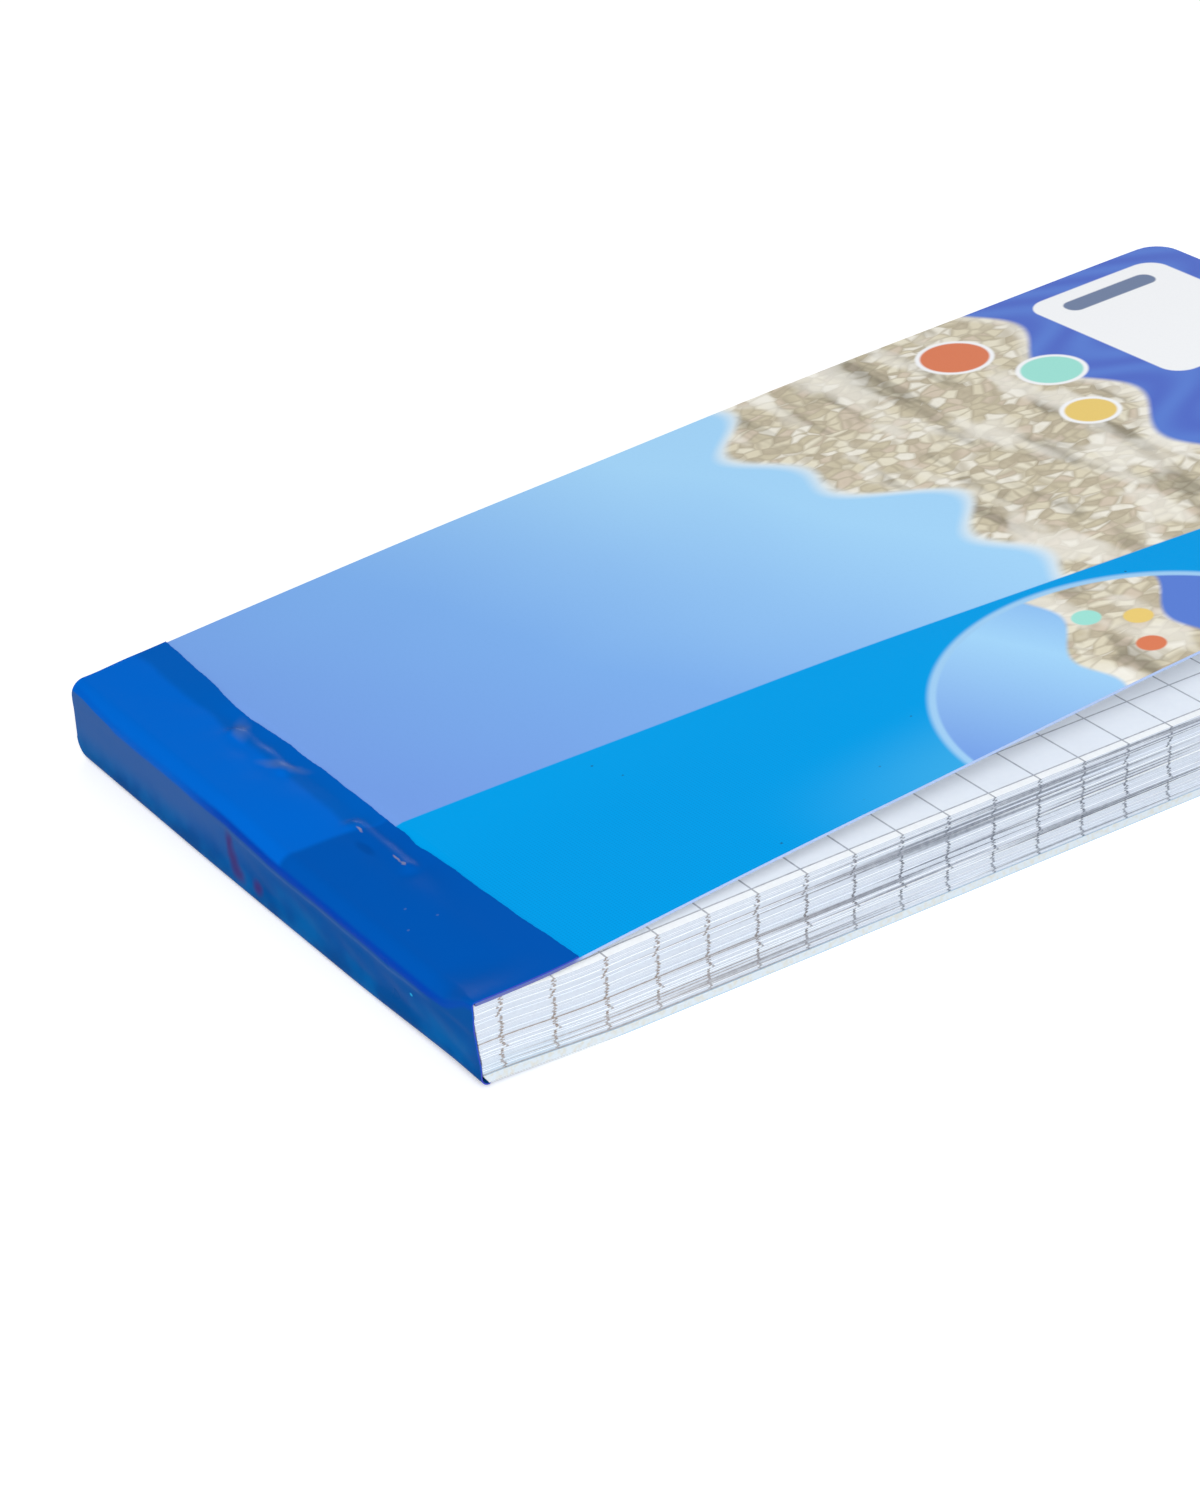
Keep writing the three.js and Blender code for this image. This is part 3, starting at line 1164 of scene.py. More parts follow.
@dataclass(frozen=True)
class TapeFinish:
    """Thin glossy blue tape, a little see-through, over the cover's two colour fields. The wrap
    map's second coordinate counts its stretches: top band 0 to 1, ridge 1 to 2, head 2 to 3,
    heel 3 to 4, underside 4 to 5."""

    name: str = "blue_tape"
    blot: float = 5.0
    fine: float = 0.7
    over_sky: Colour = rgb(0, 100, 204)
    over_cyan: Colour = rgb(0, 83, 175)
    split_slope: float = 0.22
    split_start: float = -18.84
    split_soft: float = 0.5
    # Painted shade: the darker blue of the lifted flap by the tape's foot edge.
    flap: Colour = rgb(0, 91, 184)
    flap_shade_line: float = 60.1
    flap_shade_wander: float = 1.2
    # Painted shade: the dark band along the ridge, where the round corner reflects darker surroundings.
    ridge: Colour = rgb(0, 66, 174)
    ridge_shade_from: Span = (1.66, 1.88)
    ridge_wander: float = 0.1
    far_end: Span = (25.0, 35.0)
    far_shift: float = 0.3
    near_end: Span = (-27.0, -33.0)
    near_fade: float = 0.6
    far_half: Span = (4.0, 16.0)
    far_fade: float = 0.8
    head_from: Span = (2.02, 2.1)
    # Painted shade: the head face turns darker towards the heel, near the floor.
    head: Colour = rgb(0, 80, 156)
    heel: Colour = rgb(0, 74, 142)
    heel_shade_up: Span = (0.4, 3.4)
    heel_shade_wander: float = 3.0
    thin: Colour = rgb(0, 102, 172)
    thin_blots: Span = (0.42, 0.66)
    thin_up: Span = (5.0, 3.0)
    thinned: float = 0.6
    # Painted sheen: the mauve reflection on the upper head face and its far end.
    painted_sheen: Colour = rgb(54, 96, 160)
    sheen_up: Span = (2.0, 5.2)
    sheen_along: Span = (-8.0, 14.0)
    sheen_lean: float = 0.03
    sheen_wander: float = 1.6
    sheened: float = 0.9
    # Painted highlight: a thin pale line along the ridge's lower side, and a softer glow below it.
    highlight_at: float = 2.14
    highlight_edge: Span = (0.045, 0.01)
    highlighted: float = 0.5
    below_highlight: Span = (2.3, 2.12)
    below: float = 0.35
    highlight_far: Span = (9.0, 2.0)
    highlight_near: Span = (-29.0, -25.0)
    highlight_fine: float = 0.6
    # Painted sheen on the creases over the far staple; the dust specks take the same pale colour.
    sheen_and_dust: Colour = rgb(74, 108, 172)
    sheen_wisp_places: tuple[Oval, ...] = (
        Oval(16.1, 59.3, 2.0, 0.85, 0.45),
        Oval(7.9, 59.5, 2.5, 0.75, -0.45),
    )
    sheen_wisp_edge: Span = (1.3, 0.2)
    wisp_sheened: float = 0.6
    bend: float = 1.3
    bend_size: float = 2.2
    # Painted shade: a darker patch beside the near staple, with no hollow in the tape under it.
    dent_shade: Colour = rgb(0, 70, 152)
    dent_place: Oval = Oval(-8.6, 61.0, 1.5, 0.5)
    dent_edge: Span = (1.3, 0.4)
    dent_bend: float = 0.4
    dent_shaded: float = 0.6
    on_head: Span = (66.0, 66.3)
    mark: Colour = rgb(72, 34, 100)
    mark_places: tuple[Oval, ...] = (
        Oval(5.1, 4.5, 0.85, 1.3),
        Oval(4.6, 3.1, 1.15, 1.2),
        Oval(4.0, 1.9, 1.45, 1.0),
        Oval(0.6, 2.0, 0.95, 0.9),
    )
    mark_edge: Span = (1.3, 0.1)
    mark_shake: float = 0.5
    marked: float = 0.7
    worn: Colour = rgb(146, 142, 160)
    worn_places: tuple[Oval, ...] = (
        Oval(-6.0, 59.95, 0.62, 0.14),
        Oval(-12.2, 59.95, 0.95, 0.12),
        Oval(-13.2, 59.95, 0.28, 0.22),
    )
    worn_shake_x: float = 0.8
    worn_shake_y: float = 0.4
    least_worn: float = 0.1
    dust_places: tuple[Oval, ...] = (
        Oval(-21.3, 64.5, 0.14, 0.14),
        Oval(-21.5, 61.8, 0.14, 0.14),
        Oval(-18.7, 63.2, 0.14, 0.14),
    )
    dusted: float = 0.6
    speck: Colour = rgb(40, 170, 220)
    speck_place: Oval = Oval(-25.15, 4.3, 0.22, 0.16)
    spot_edge: Span = (1.2, 0.6)
    roughness: float = 0.3
    smeared: float = 0.12
    specular: float = 0.004
    relief: float = 0.05
    relief_blots: float = 0.7
    relief_fine: float = 0.1

    def material(self) -> bpy.types.Material:
        """Makes the material: blue by what lies under it, with painted shade at the flap, the ridge,
        the heel and beside the near staple, painted sheen and highlights on the head and over the far
        staple, and its wear and marks.
        """
        tree = Tree(bpy.data.materials.new(self.name))
        place = tree.place()
        x, y, z = tree.parts(place)
        wrap = tree.on_map(WRAP_MAP)[1]
        coarse, grain = tree.noise(place, self.blot), tree.noise(place, self.fine)
        point = TapePoint(tree, place, x, y, z, wrap, coarse - 0.5, grain - 0.5)
        split = x - (y * self.split_slope + self.split_start)
        over_sky = split.rise(-self.split_soft, self.split_soft)
        top = tree.mix(self.over_cyan, self.over_sky, over_sky)
        # Painted shade on the lifted flap, over the sky field only.
        from_edge = y + point.soft * self.flap_shade_wander
        flap = from_edge.rise(self.flap_shade_line + self.split_soft, self.flap_shade_line - self.split_soft)
        top = self.sheen_wisps_and_dent(tree.mix(top, self.flap, flap * over_sky), point)
        # Painted shade: a dark band along the ridge, faded at both ends.
        spine = wrap + x.rise(*self.far_end) * self.far_shift + point.soft * self.ridge_wander
        near_shade_band = 1.0 - x.rise(*self.near_end) * self.near_fade
        band = near_shade_band * (1.0 - x.rise(*self.far_half) * self.far_fade)
        ridge = tree.mix(top, self.ridge, spine.rise(*self.ridge_shade_from) * band)
        colour = tree.mix(ridge, self.head_face(point, coarse, grain), spine.rise(*self.head_from))
        colour = self.marks(colour, point, grain)
        height = coarse * self.relief_blots + grain * self.relief_fine
        roughness = self.roughness + point.soft * self.smeared
        return tree.surface(colour, roughness, self.specular, tree.bump(height, self.relief))

    def head_face(self, point: TapePoint, coarse: Value, grain: Value) -> Value:
        """The head face: a painted mauve sheen above and at the far end, painted shade that makes it
        deeper blue below, and a thin painted highlight line along the ridge."""
        mix, x, z = point.tree.mix, point.x, point.z
        # Painted shade: darker blue low on the head face.
        height = z + point.soft * self.heel_shade_wander
        low = mix(self.heel, self.head, height.rise(*self.heel_shade_up))
        patch = coarse.rise(*self.thin_blots) * z.rise(*self.thin_up)
        low = mix(low, self.thin, patch * self.thinned)
        # Painted sheen on the upper head face, most at the far end.
        height = z + x * self.sheen_lean + point.soft * self.sheen_wander
        sheen_mask = height.rise(*self.sheen_up) * x.rise(*self.sheen_along)
        colour = mix(low, self.painted_sheen, sheen_mask * self.sheened)
        # Painted highlight line under the ridge.
        under = point.wrap + point.soft * self.ridge_wander
        line = (under - self.highlight_at).size().rise(*self.highlight_edge) * self.highlighted
        line = line + under.rise(*self.below_highlight) * self.below
        line = line * (x.rise(*self.highlight_far) * x.rise(*self.highlight_near))
        return mix(colour, self.painted_sheen, line * (grain * self.highlight_fine + self.highlight_fine))

    def sheen_wisps_and_dent(self, top: Value, point: TapePoint) -> Value:
        """Painted sheen: pale reflections where the tape is creased over the far staple, and painted
        shade: a dark patch beside the near one."""
        tree, x, y = point.tree, point.x, point.y
        bend = (tree.noise(point.place, self.bend_size) - 0.5) * self.bend
        colour = top
        # Painted sheen over the far staple's creases.
        for sheen_and_dust in self.sheen_wisp_places:
            away = sheen_and_dust.away(x, y + (x - sheen_and_dust.middle_x) * sheen_and_dust.lean + bend)
            colour = tree.mix(colour, self.sheen_and_dust, away.rise(*self.sheen_wisp_edge) * self.wisp_sheened)
        # Painted shade beside the near staple.
        dent_shade = self.dent_place.away(x, y + bend * self.dent_bend)
        return tree.mix(colour, self.dent_shade, dent_shade.rise(*self.dent_edge) * self.dent_shaded)

    def marks(self, colour: Value, point: TapePoint, grain: Value) -> Value:
        """Two dark marks on the head, bare spots over the near staple and small specks."""
        mix, x, y, z = point.tree.mix, point.x, point.y, point.z
        on_head = y.rise(*self.on_head)
        shaken = x + point.fine * self.mark_shake
        for mark in self.mark_places:
            seen = mark.away(shaken, z).rise(*self.mark_edge) * on_head
            colour = mix(colour, self.mark, seen * self.marked)
        shaken = x + point.fine * self.worn_shake_x
        for spot in self.worn_places:
            away = spot.away(shaken, y + point.fine * self.worn_shake_y)
            seen = away.rise(*self.spot_edge) * (grain + self.least_worn)
            colour = mix(colour, self.worn, seen)
        # Real dust specks, in the same pale colour as the painted sheen.
        for speck in self.dust_places:
            seen = speck.away(x, y).rise(*self.spot_edge)
            colour = mix(colour, self.sheen_and_dust, seen * self.dusted)
        seen = self.speck_place.away(x, z).rise(*self.spot_edge)
        return mix(colour, self.speck, seen * on_head)


@dataclass(frozen=True)
class TapeEdgeFinish:
    """The tape's cut edges, which let more light through and look violet."""

    name: str = "tape_edge"
    violet: Colour = rgb(56, 62, 168)
    blue: Colour = rgb(10, 72, 176)
    blot: float = 2.0
    violet_from: Span = (0.35, 0.6)
    roughness: float = 0.5
    specular: float = 0.1

    def material(self) -> bpy.types.Material:
        """Makes the material."""
        tree = Tree(bpy.data.materials.new(self.name))
        blots = tree.noise(tree.place(), self.blot).rise(*self.violet_from)
        colour = tree.mix(self.blue, self.violet, blots)
        return tree.surface(colour, self.roughness, self.specular)


@dataclass(frozen=True)
class WireFinish:
    """Zinc-coated staple wire."""

    name: str = "staple_wire"
    bright: Colour = rgb(205, 207, 210)
    dull: Colour = rgb(150, 153, 158)
    streak: float = 0.3
    streak_detail: float = 3.0
    roughness: float = 0.3
    streaked: float = 0.2

    def material(self) -> bpy.types.Material:
        """Makes the material: metal with drawn streaks."""
        tree = Tree(bpy.data.materials.new(self.name))
        streaks = tree.noise(tree.place(), self.streak, self.streak_detail)
        colour = tree.mix(self.dull, self.bright, streaks)
        roughness = self.roughness + streaks * self.streaked
        return tree.surface(colour, roughness, metallic=1.0)


@dataclass(frozen=True)
class Binding:
    """The bound end: how the tape is pressed on, and what room it leaves inside."""

    places: Places
    flap_length: float = 1.8
    side_flap_length: float = 8.5
    flap_rise: float = 0.6
    near_rise: float = 0.2
    crease_slope: float = math.tan(math.radians(6.4))
    far_sag: float = 0.35
    near_sag: float = 0.85
    staple_sag: float = 0.16
    ridge: float = 1.5
    near_ridge: float = 0.35
    near_curl: float = 0.38
    heel: float = 0.9
    near_heel: float = 0.75
    far_round: float = 1.2
    settle_length: float = 5.0
    set_back: float = 0.4
    rocker_height: float = 0.55
    near_end: Span = (-20.0, -35.0)
    near_half: Span = (8.0, -4.0)
    near_tight: Span = (-35.0, -30.0)
    near_held: Span = (-35.0, -28.0)
    side_flaps: Span = (15.0, 33.0)
    flaps_middle: float = 1.3
    round_along: Span = (64.0, 66.5)
    sag_along: Span = (60.5, 66.5)
    curl_across: Span = (-30.5, -35.0)
    curl_along: Span = (57.0, 65.0)
    rocker_across: Span = (-14.0, -35.0)
    rocker_along: Span = (54.0, 66.5)
    staple_skirt: float = 5.0
    staple_reach: float = 2.6
    set_across: Span = (16.0, -30.0)
    set_down: Span = (5.2, 1.8)
    wrinkled_up: Span = (1.4, 2.6)
    wrinkled_down: Span = (6.0, 5.0)
    wrinkled_across: Span = (14.0, 0.0)
    least_wrinkled: float = 0.35
    wrinkle: float = 0.08
    wrinkle_slow: tuple[float, float, float] = (0.04, 0.31, 1.0)
    wrinkle_fast: tuple[float, float, float] = (0.025, 0.83, -1.7)

    def flat_top_z(self) -> float:
        """The tape's top face where nothing lifts or presses it."""
        return self.places.cover_bottom_z + LAYERS.cover + LAYERS.tape_gap + LAYERS.tape

    def near_share(self, x: np.ndarray) -> np.ndarray:
        """How far a place counts as the near corner, where the cover springs up more."""
        return eased(*self.near_end, x)

    def lift(self, x: np.ndarray, y: np.ndarray) -> np.ndarray:
        """How far the cover is lifted near the tape's edge: a cubic curve from level at the
        flap's bend to the cover's own slope at its crease. Past the staples the flap is longer."""
        side = eased(*self.side_flaps, np.abs(x - self.flaps_middle))
        length = self.flap_length + (self.side_flap_length - self.flap_length) * side
        bend_y = self.places.tape_edge_y + length
        run = bend_y - self.places.leaf_start_y
        share = np.clip((bend_y - y) / run, 0, 1)
        rise = self.flap_rise + self.near_rise * self.near_share(x)
        return rise * (3 * share**2 - 2 * share**3) + run * self.crease_slope * (share**3 - share**2)

    def ridge_radius(self, x: np.ndarray) -> np.ndarray:
        """The ridge's radius, tighter at the near end."""
        return self.near_ridge + (self.ridge - self.near_ridge) * eased(*self.near_tight, x)

    def bound_share(self, y: np.ndarray) -> np.ndarray:
        """How far a place is pressed as the bound end is: 1 under the tape, 0 well past it."""
        return eased(self.places.leaf_start_y - self.settle_length, self.places.tape_edge_y, y)

    def heel_radius(self, x: np.ndarray) -> np.ndarray:
        """The heel's radius, tighter at the near end."""
        return self.near_heel + (self.heel - self.near_heel) * eased(*self.near_tight, x)

    def end_round(self, x: np.ndarray, y: np.ndarray) -> np.ndarray:
        """How much the worn, round far corner of the head is off the ground."""
        start = self.places.half_width - self.far_round
        return round_loss(x - start, self.far_round) * eased(*self.round_along, y)

    def sagged(self, x: np.ndarray, y: np.ndarray) -> np.ndarray:
        """How far the top of the stack is pressed down: towards the head, most in the near half,
        and a little round each staple."""
        sag = self.far_sag + (self.near_sag - self.far_sag) * eased(*self.near_half, x)
        across = sag * eased(*self.near_held, x)
        curled = self.near_curl * eased(*self.curl_across, x) * eased(*self.curl_along, y)
        pressed = across * eased(*self.sag_along, y) - curled
        for staple in self.places.staples:
            skirt = staple.half_crown + self.staple_skirt
            close = eased(skirt, staple.half_crown, np.abs(x - staple.centre_x))
            along = bell(staple.centre_y, self.staple_reach, y)
            pressed = pressed + self.staple_sag * close * along
        return pressed

    def rocker(self, x: np.ndarray, y: np.ndarray) -> np.ndarray:
        """How far the underside is off the ground, at the two corners of the head."""
        near = eased(*self.rocker_across, x) * eased(*self.rocker_along, y)
        return self.rocker_height * near + self.end_round(x, y)

    def press(self, x: np.ndarray, y: np.ndarray, z: np.ndarray) -> np.ndarray:
        """A height in the stack once it is pressed: the heights between the underside and the
        tape's top face all move in proportion.

        Args:
            x: Place across.
            y: Place along.
            z: The height before.

        Returns:
            The height after.
        """
        share = z / self.flat_top_z()
        return z - self.sagged(x, y) * share + self.rocker(x, y) * (1 - share)

    def head_y(self, x: np.ndarray, z: np.ndarray) -> np.ndarray:
        """The tape's outer face on the head: set back in its lower half towards the near end,
        with slow wrinkles that run along it, each a height times the sine of x and z at rates."""
        step = self.set_back * eased(*self.set_across, x) * eased(*self.set_down, z)
        more = (1 - self.least_wrinkled) * eased(*self.wrinkled_across, x)
        inside = eased(*self.wrinkled_up, z) * eased(*self.wrinkled_down, z)
        waves = self.wrinkle
        for height, rate, rise in (self.wrinkle_slow, self.wrinkle_fast):
            waves = waves + height * np.sin(x * rate + z * rise)
        return self.places.head_y - step - inside * (self.least_wrinkled + more) * waves

    def reach(self, x: np.ndarray, low_z: np.ndarray, high_z: np.ndarray) -> np.ndarray:
        """How far towards the head a layer may go inside the tape's round corners.

        Args:
            x: Place across.
            low_z: The layer's lower face.
            high_z: Its upper face.

        Returns:
            The layer's head edge.
        """
        depth = LAYERS.tape + 3 * LAYERS.tape_gap
        head = np.full_like(x, self.places.head_y)
        ridge = self.ridge_radius(x)
        top = self.press(x, head - ridge, np.full_like(x, self.flat_top_z()))
        over = round_loss(high_z - (top - ridge), ridge - depth)
        heel = self.heel_radius(x)
        under = round_loss(heel + self.rocker(x, head) - low_z, heel - depth)
        return self.head_y(x, (low_z + high_z) / 2) - depth - np.maximum(over, under)

    def board_step(self, y: np.ndarray) -> np.ndarray:
        """How far the board is lifted by the tape under it."""
        return (LAYERS.tape + LAYERS.tape_gap) * self.bound_share(y)


@dataclass(frozen=True)
class PrintPlace:
    """Where a sheet's ruling lies on it: its offset and turn across, and its offset along."""

    offset: float
    turn: float
    jog: float


@dataclass(frozen=True)
class PaperStack:
    """The fifty sheets, each in one piece from the head to the foot."""

    places: Places
    binding: Binding
    rows_loose: int = 26
    rows_bend: int = 18
    rows_bound: int = 8
    columns: int = 17
    row_crowding: float = 0.8
    bend_length: float = 10.0
    least_bend: float = 1.0
    body: float = 0.131
    corner: float = 3.0
    trim: float = 0.04
    even_air: float = 1.0
    patchy_air: float = 3.0
    least_gap: float = 0.05
    tone_range: float = 0.11
    line_inset: float = 1.05
    first_line: float = 2.71
    top_turn: float = 0.001
    last_inset: float = 0.19
    last_turn: float = 0.007
    group_share: float = 0.36
    clear_share: float = 0.15
    streak_depths: tuple[float, ...] = (0.0, 0.1, 0.28, 0.45, 0.7, 0.85, 1.0)
    streak_from: tuple[float, ...] = (72.0, 64.0, 46.0, 32.0, 18.0, 14.0, 22.0)
    streak_to: tuple[float, ...] = (84.0, 90.0, 84.0, 66.0, 46.0, 40.0, 92.0)
    streak_jitter: float = 8.0
    late_share: float = 0.42
    late_shift: float = 35.0
    late_depth: float = 0.3
    least_turn: float = 0.007
    more_turn: float = 0.016
    least_aside: float = 0.9
    more_aside: float = 0.8
    clear_turn: float = 0.2
    jog_wander: float = 0.07
    jog_each: float = 0.1
    swell: float = 0.3
    swell_early: float = 0.6

    @property
    def count(self) -> int:
        """How many sheets there are."""
        return len(self.places.leaf_low_z)

    def along(self) -> np.ndarray:
        """The rows' places along the pad from the foot to the tape's edge, closer at the bend."""
        foot = self.places.foot_y
        bend_y = self.places.leaf_start_y - self.bend_length
        loose = foot + (bend_y - foot) * np.linspace(0, 1, self.rows_loose) ** self.row_crowding
        corner = foot + self.corner * CORNER_ROWS
        bend = np.linspace(bend_y, self.places.tape_edge_y, self.rows_bend)
        return np.unique(np.concatenate([loose, corner, bend]))

    def spread(self, rng: np.random.Generator, evenness: float) -> np.ndarray:
        """The share of all air that lies under each sheet, counted from the bottom sheet.

        Args:
            rng: The random numbers.
            evenness: 1 for even air. A larger number leaves most in a few gaps.

        Returns:
            The shares, from 0 under the bottom sheet to 1 under the top one.
        """
        gaps = rng.random(self.count - 1) ** evenness + self.least_gap
        return running(gaps) / gaps.sum()

    def prints(self, rng: np.random.Generator) -> list[PrintPlace]:
        """Where each sheet's ruling lies. Sheets that were cut together share how far it is off,
        so the line that meets their long edge draws a streak of a few sheets on the stack. The
        streaks of the sheets below the upper ones cross nearer the head, and a share of them
        later. A few sheets' line stays clear of the edge.

        Args:
            rng: The random numbers.

        Returns:
            The places from the top sheet to the bottom one.
        """
        group = np.cumsum(rng.random(self.count) < self.group_share)
        depth = np.arange(self.count) / (self.count - 1)
        low = np.interp(depth, self.streak_depths, self.streak_from)
        high = np.interp(depth, self.streak_depths, self.streak_to)
        crossing = low + (high - low) * rng.random(self.count)[group]
        crossing = crossing + self.streak_jitter * rng.standard_normal(self.count)
        lean = rng.choice([-1.0, 1.0], self.count)[group]
        turn = lean * (self.least_turn + self.more_turn * rng.random(self.count)[group])
        clear = rng.random(self.count) < self.clear_share
        aside = self.least_aside + self.more_aside * rng.random(self.count)
        wander = self.jog_wander * np.cumsum(rng.standard_normal(self.count))
        jog = wander - np.linspace(wander[0], wander[-1], self.count)
        jog = jog + self.jog_each * rng.standard_normal(self.count)
        late = (rng.random(self.count)[group] < self.late_share) & (depth > self.late_depth)
        crossing = crossing + self.late_shift * late
        offset = np.where(clear, aside, turn * crossing)
        turn = np.where(clear, turn * self.clear_turn, turn)
        offset[0], turn[0], jog[0] = self.line_inset, self.top_turn, 0.0
        offset[-1], turn[-1] = self.last_inset, self.last_turn
        return [PrintPlace(*place) for place in zip(offset, turn, jog)]

    def build(
        self, paper: bpy.types.Material, rim: bpy.types.Material
    ) -> list[bpy.types.Object]:
        """Makes every sheet and hides the imported leaf that it stands for.

        Args:
            paper: The material of their faces.
            rim: The material of their cut edges.

        Returns:
            The sheets from top to bottom.
        """
        rng = np.random.default_rng(SEED)
        at_tape = self.spread(rng, self.even_air)
        at_foot = self.spread(rng, self.patchy_air)
        trims = self.trim * rng.standard_normal((self.count, 2))
        prints = self.prints(rng)
        tones = self.tone_range * (rng.random(self.count) - 0.5)
        sheets = []
        for index in range(self.count):
            under = self.count - 1 - index
            air = (at_tape[under], at_foot[under])
            sheet = self.sheet(index, under, air, trims[index], prints[index])
            sheets.append(self.finish(sheet.build((paper, paper, rim)), index, tones[index]))
        return sheets

    def sheet(
        self,
        index: int,
        under: int,
        air: tuple[float, float],
        trim: np.ndarray,
        print_place: PrintPlace,
    ) -> Slab:
        """One sheet as a closed slab.

        Args:
            index: Its number from the top, from 0.
            under: How many sheets lie under it.
            air: The share of all air that lies under it, at the tape and at the foot.
            trim: How far its two long edges are off.
            print_place: Where its ruling lies.

        Returns:
            The slab.
        """
        places = self.places
        across = close_at_ends(self.columns)
        y = self.along()[:, None] + np.zeros(self.columns)
        to_corner = self.corner - (y - places.foot_y)
        half = places.half_width - self.trim * 2 - round_loss(to_corner, self.corner)
        x = across * half + np.interp(across, (-1, 1), trim)
        edge_z = self.face(x[-1], y[-1], under, air, 0.0)
        edge_top = self.face(x[-1], y[-1], under, air, self.body)
        end_y = self.binding.reach(x[-1], edge_z, edge_top)
        bound_y = places.tape_edge_y + (end_y - places.tape_edge_y) * shares_to(self.rows_bound)
        x = np.concatenate([x, np.broadcast_to(x[-1], bound_y.shape)])
        y = np.concatenate([y, bound_y])
        outer = as_points(x, y, self.face(x, y, under, air, self.body))
        inner = as_points(x, y, self.face(x, y, under, air, 0.0))
        from_head = places.head_y - y
        printed_x = x + places.half_width - print_place.offset + print_place.turn * from_head
        printed = np.stack([printed_x, from_head - self.first_line + print_place.jog], axis=-1)
        return Slab(f"sheet_{index + 1:02d}", outer, inner, {PRINT_MAP: printed})

    def face(
        self, x: np.ndarray, y: np.ndarray, under: int, air: tuple[float, float], body: float
    ) -> np.ndarray:
        """The height of a sheet's face: the paper and air under it, which grows towards the
        foot, more where the stack swells, and pressed where it is bound.

        Args:
            x: Place across.
            y: Place along.
            under: How many sheets lie under it.
            air: The share of all air that lies under it, at the tape and at the foot.
            body: The thickness of the sheet to the asked face.

        Returns:
            The height.
        """
        places = self.places
        start, end = places.leaf_start_y, places.foot_y
        to_foot = np.clip((start - y) / (start - end), 0, 1)
        floor = places.leaf_low_z[-1]
        paper = under * self.body
        air_tape = places.leaf_low_z[0] - floor - (self.count - 1) * self.body
        air_foot = places.leaf_high_z[0] - LAYERS.paper - floor - (self.count - 1) * self.body
        swollen = self.swell * np.sin(math.pi * to_foot**self.swell_early)
        settled = air[0] * air_tape * (1 - to_foot) + air[1] * (air_foot * to_foot + swollen)
        loose = floor + paper + settled + body
        air_bound = places.block_top_z - places.block_bottom_z - self.count * self.body
        squeeze = min(1.0, 1.0 + air_bound / (self.count * self.body))
        bound = places.block_bottom_z + (paper + body) * squeeze + air[0] * max(air_bound, 0.0)
        share = self.binding.bound_share(y)
        return self.binding.press(x, y, loose * (1 - share) + bound * share)

    def finish(self, sheet: bpy.types.Object, index: int, tone: float) -> bpy.types.Object:
        """Gives a sheet its tone and hides the imported leaf that it stands for, and with the top sheet
        the imported block."""
        places = self.places
        values = np.full(len(sheet.data.vertices), tone, dtype=np.float32)
        sheet.data.attributes.new(TONE, "FLOAT", "POINT").data.foreach_set("value", values)
        leaf = f"leaf_{index + 1:02d}"
        joint = next(joint for joint in frame["joints"] if joint["child"] == leaf)
        radius = places.hinge[1] - places.leaf_low_z[index]
        bend = max(self.least_bend, math.radians(joint["range_deg"][1]) * radius)
        height = places.leaf_low_z[index] * MM
        end = (0, (places.tape_edge_y - bend) * MM, height)
        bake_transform(sheet)
        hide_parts(leaf)
        if index == 0:
            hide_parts("bound_block")
        return sheet


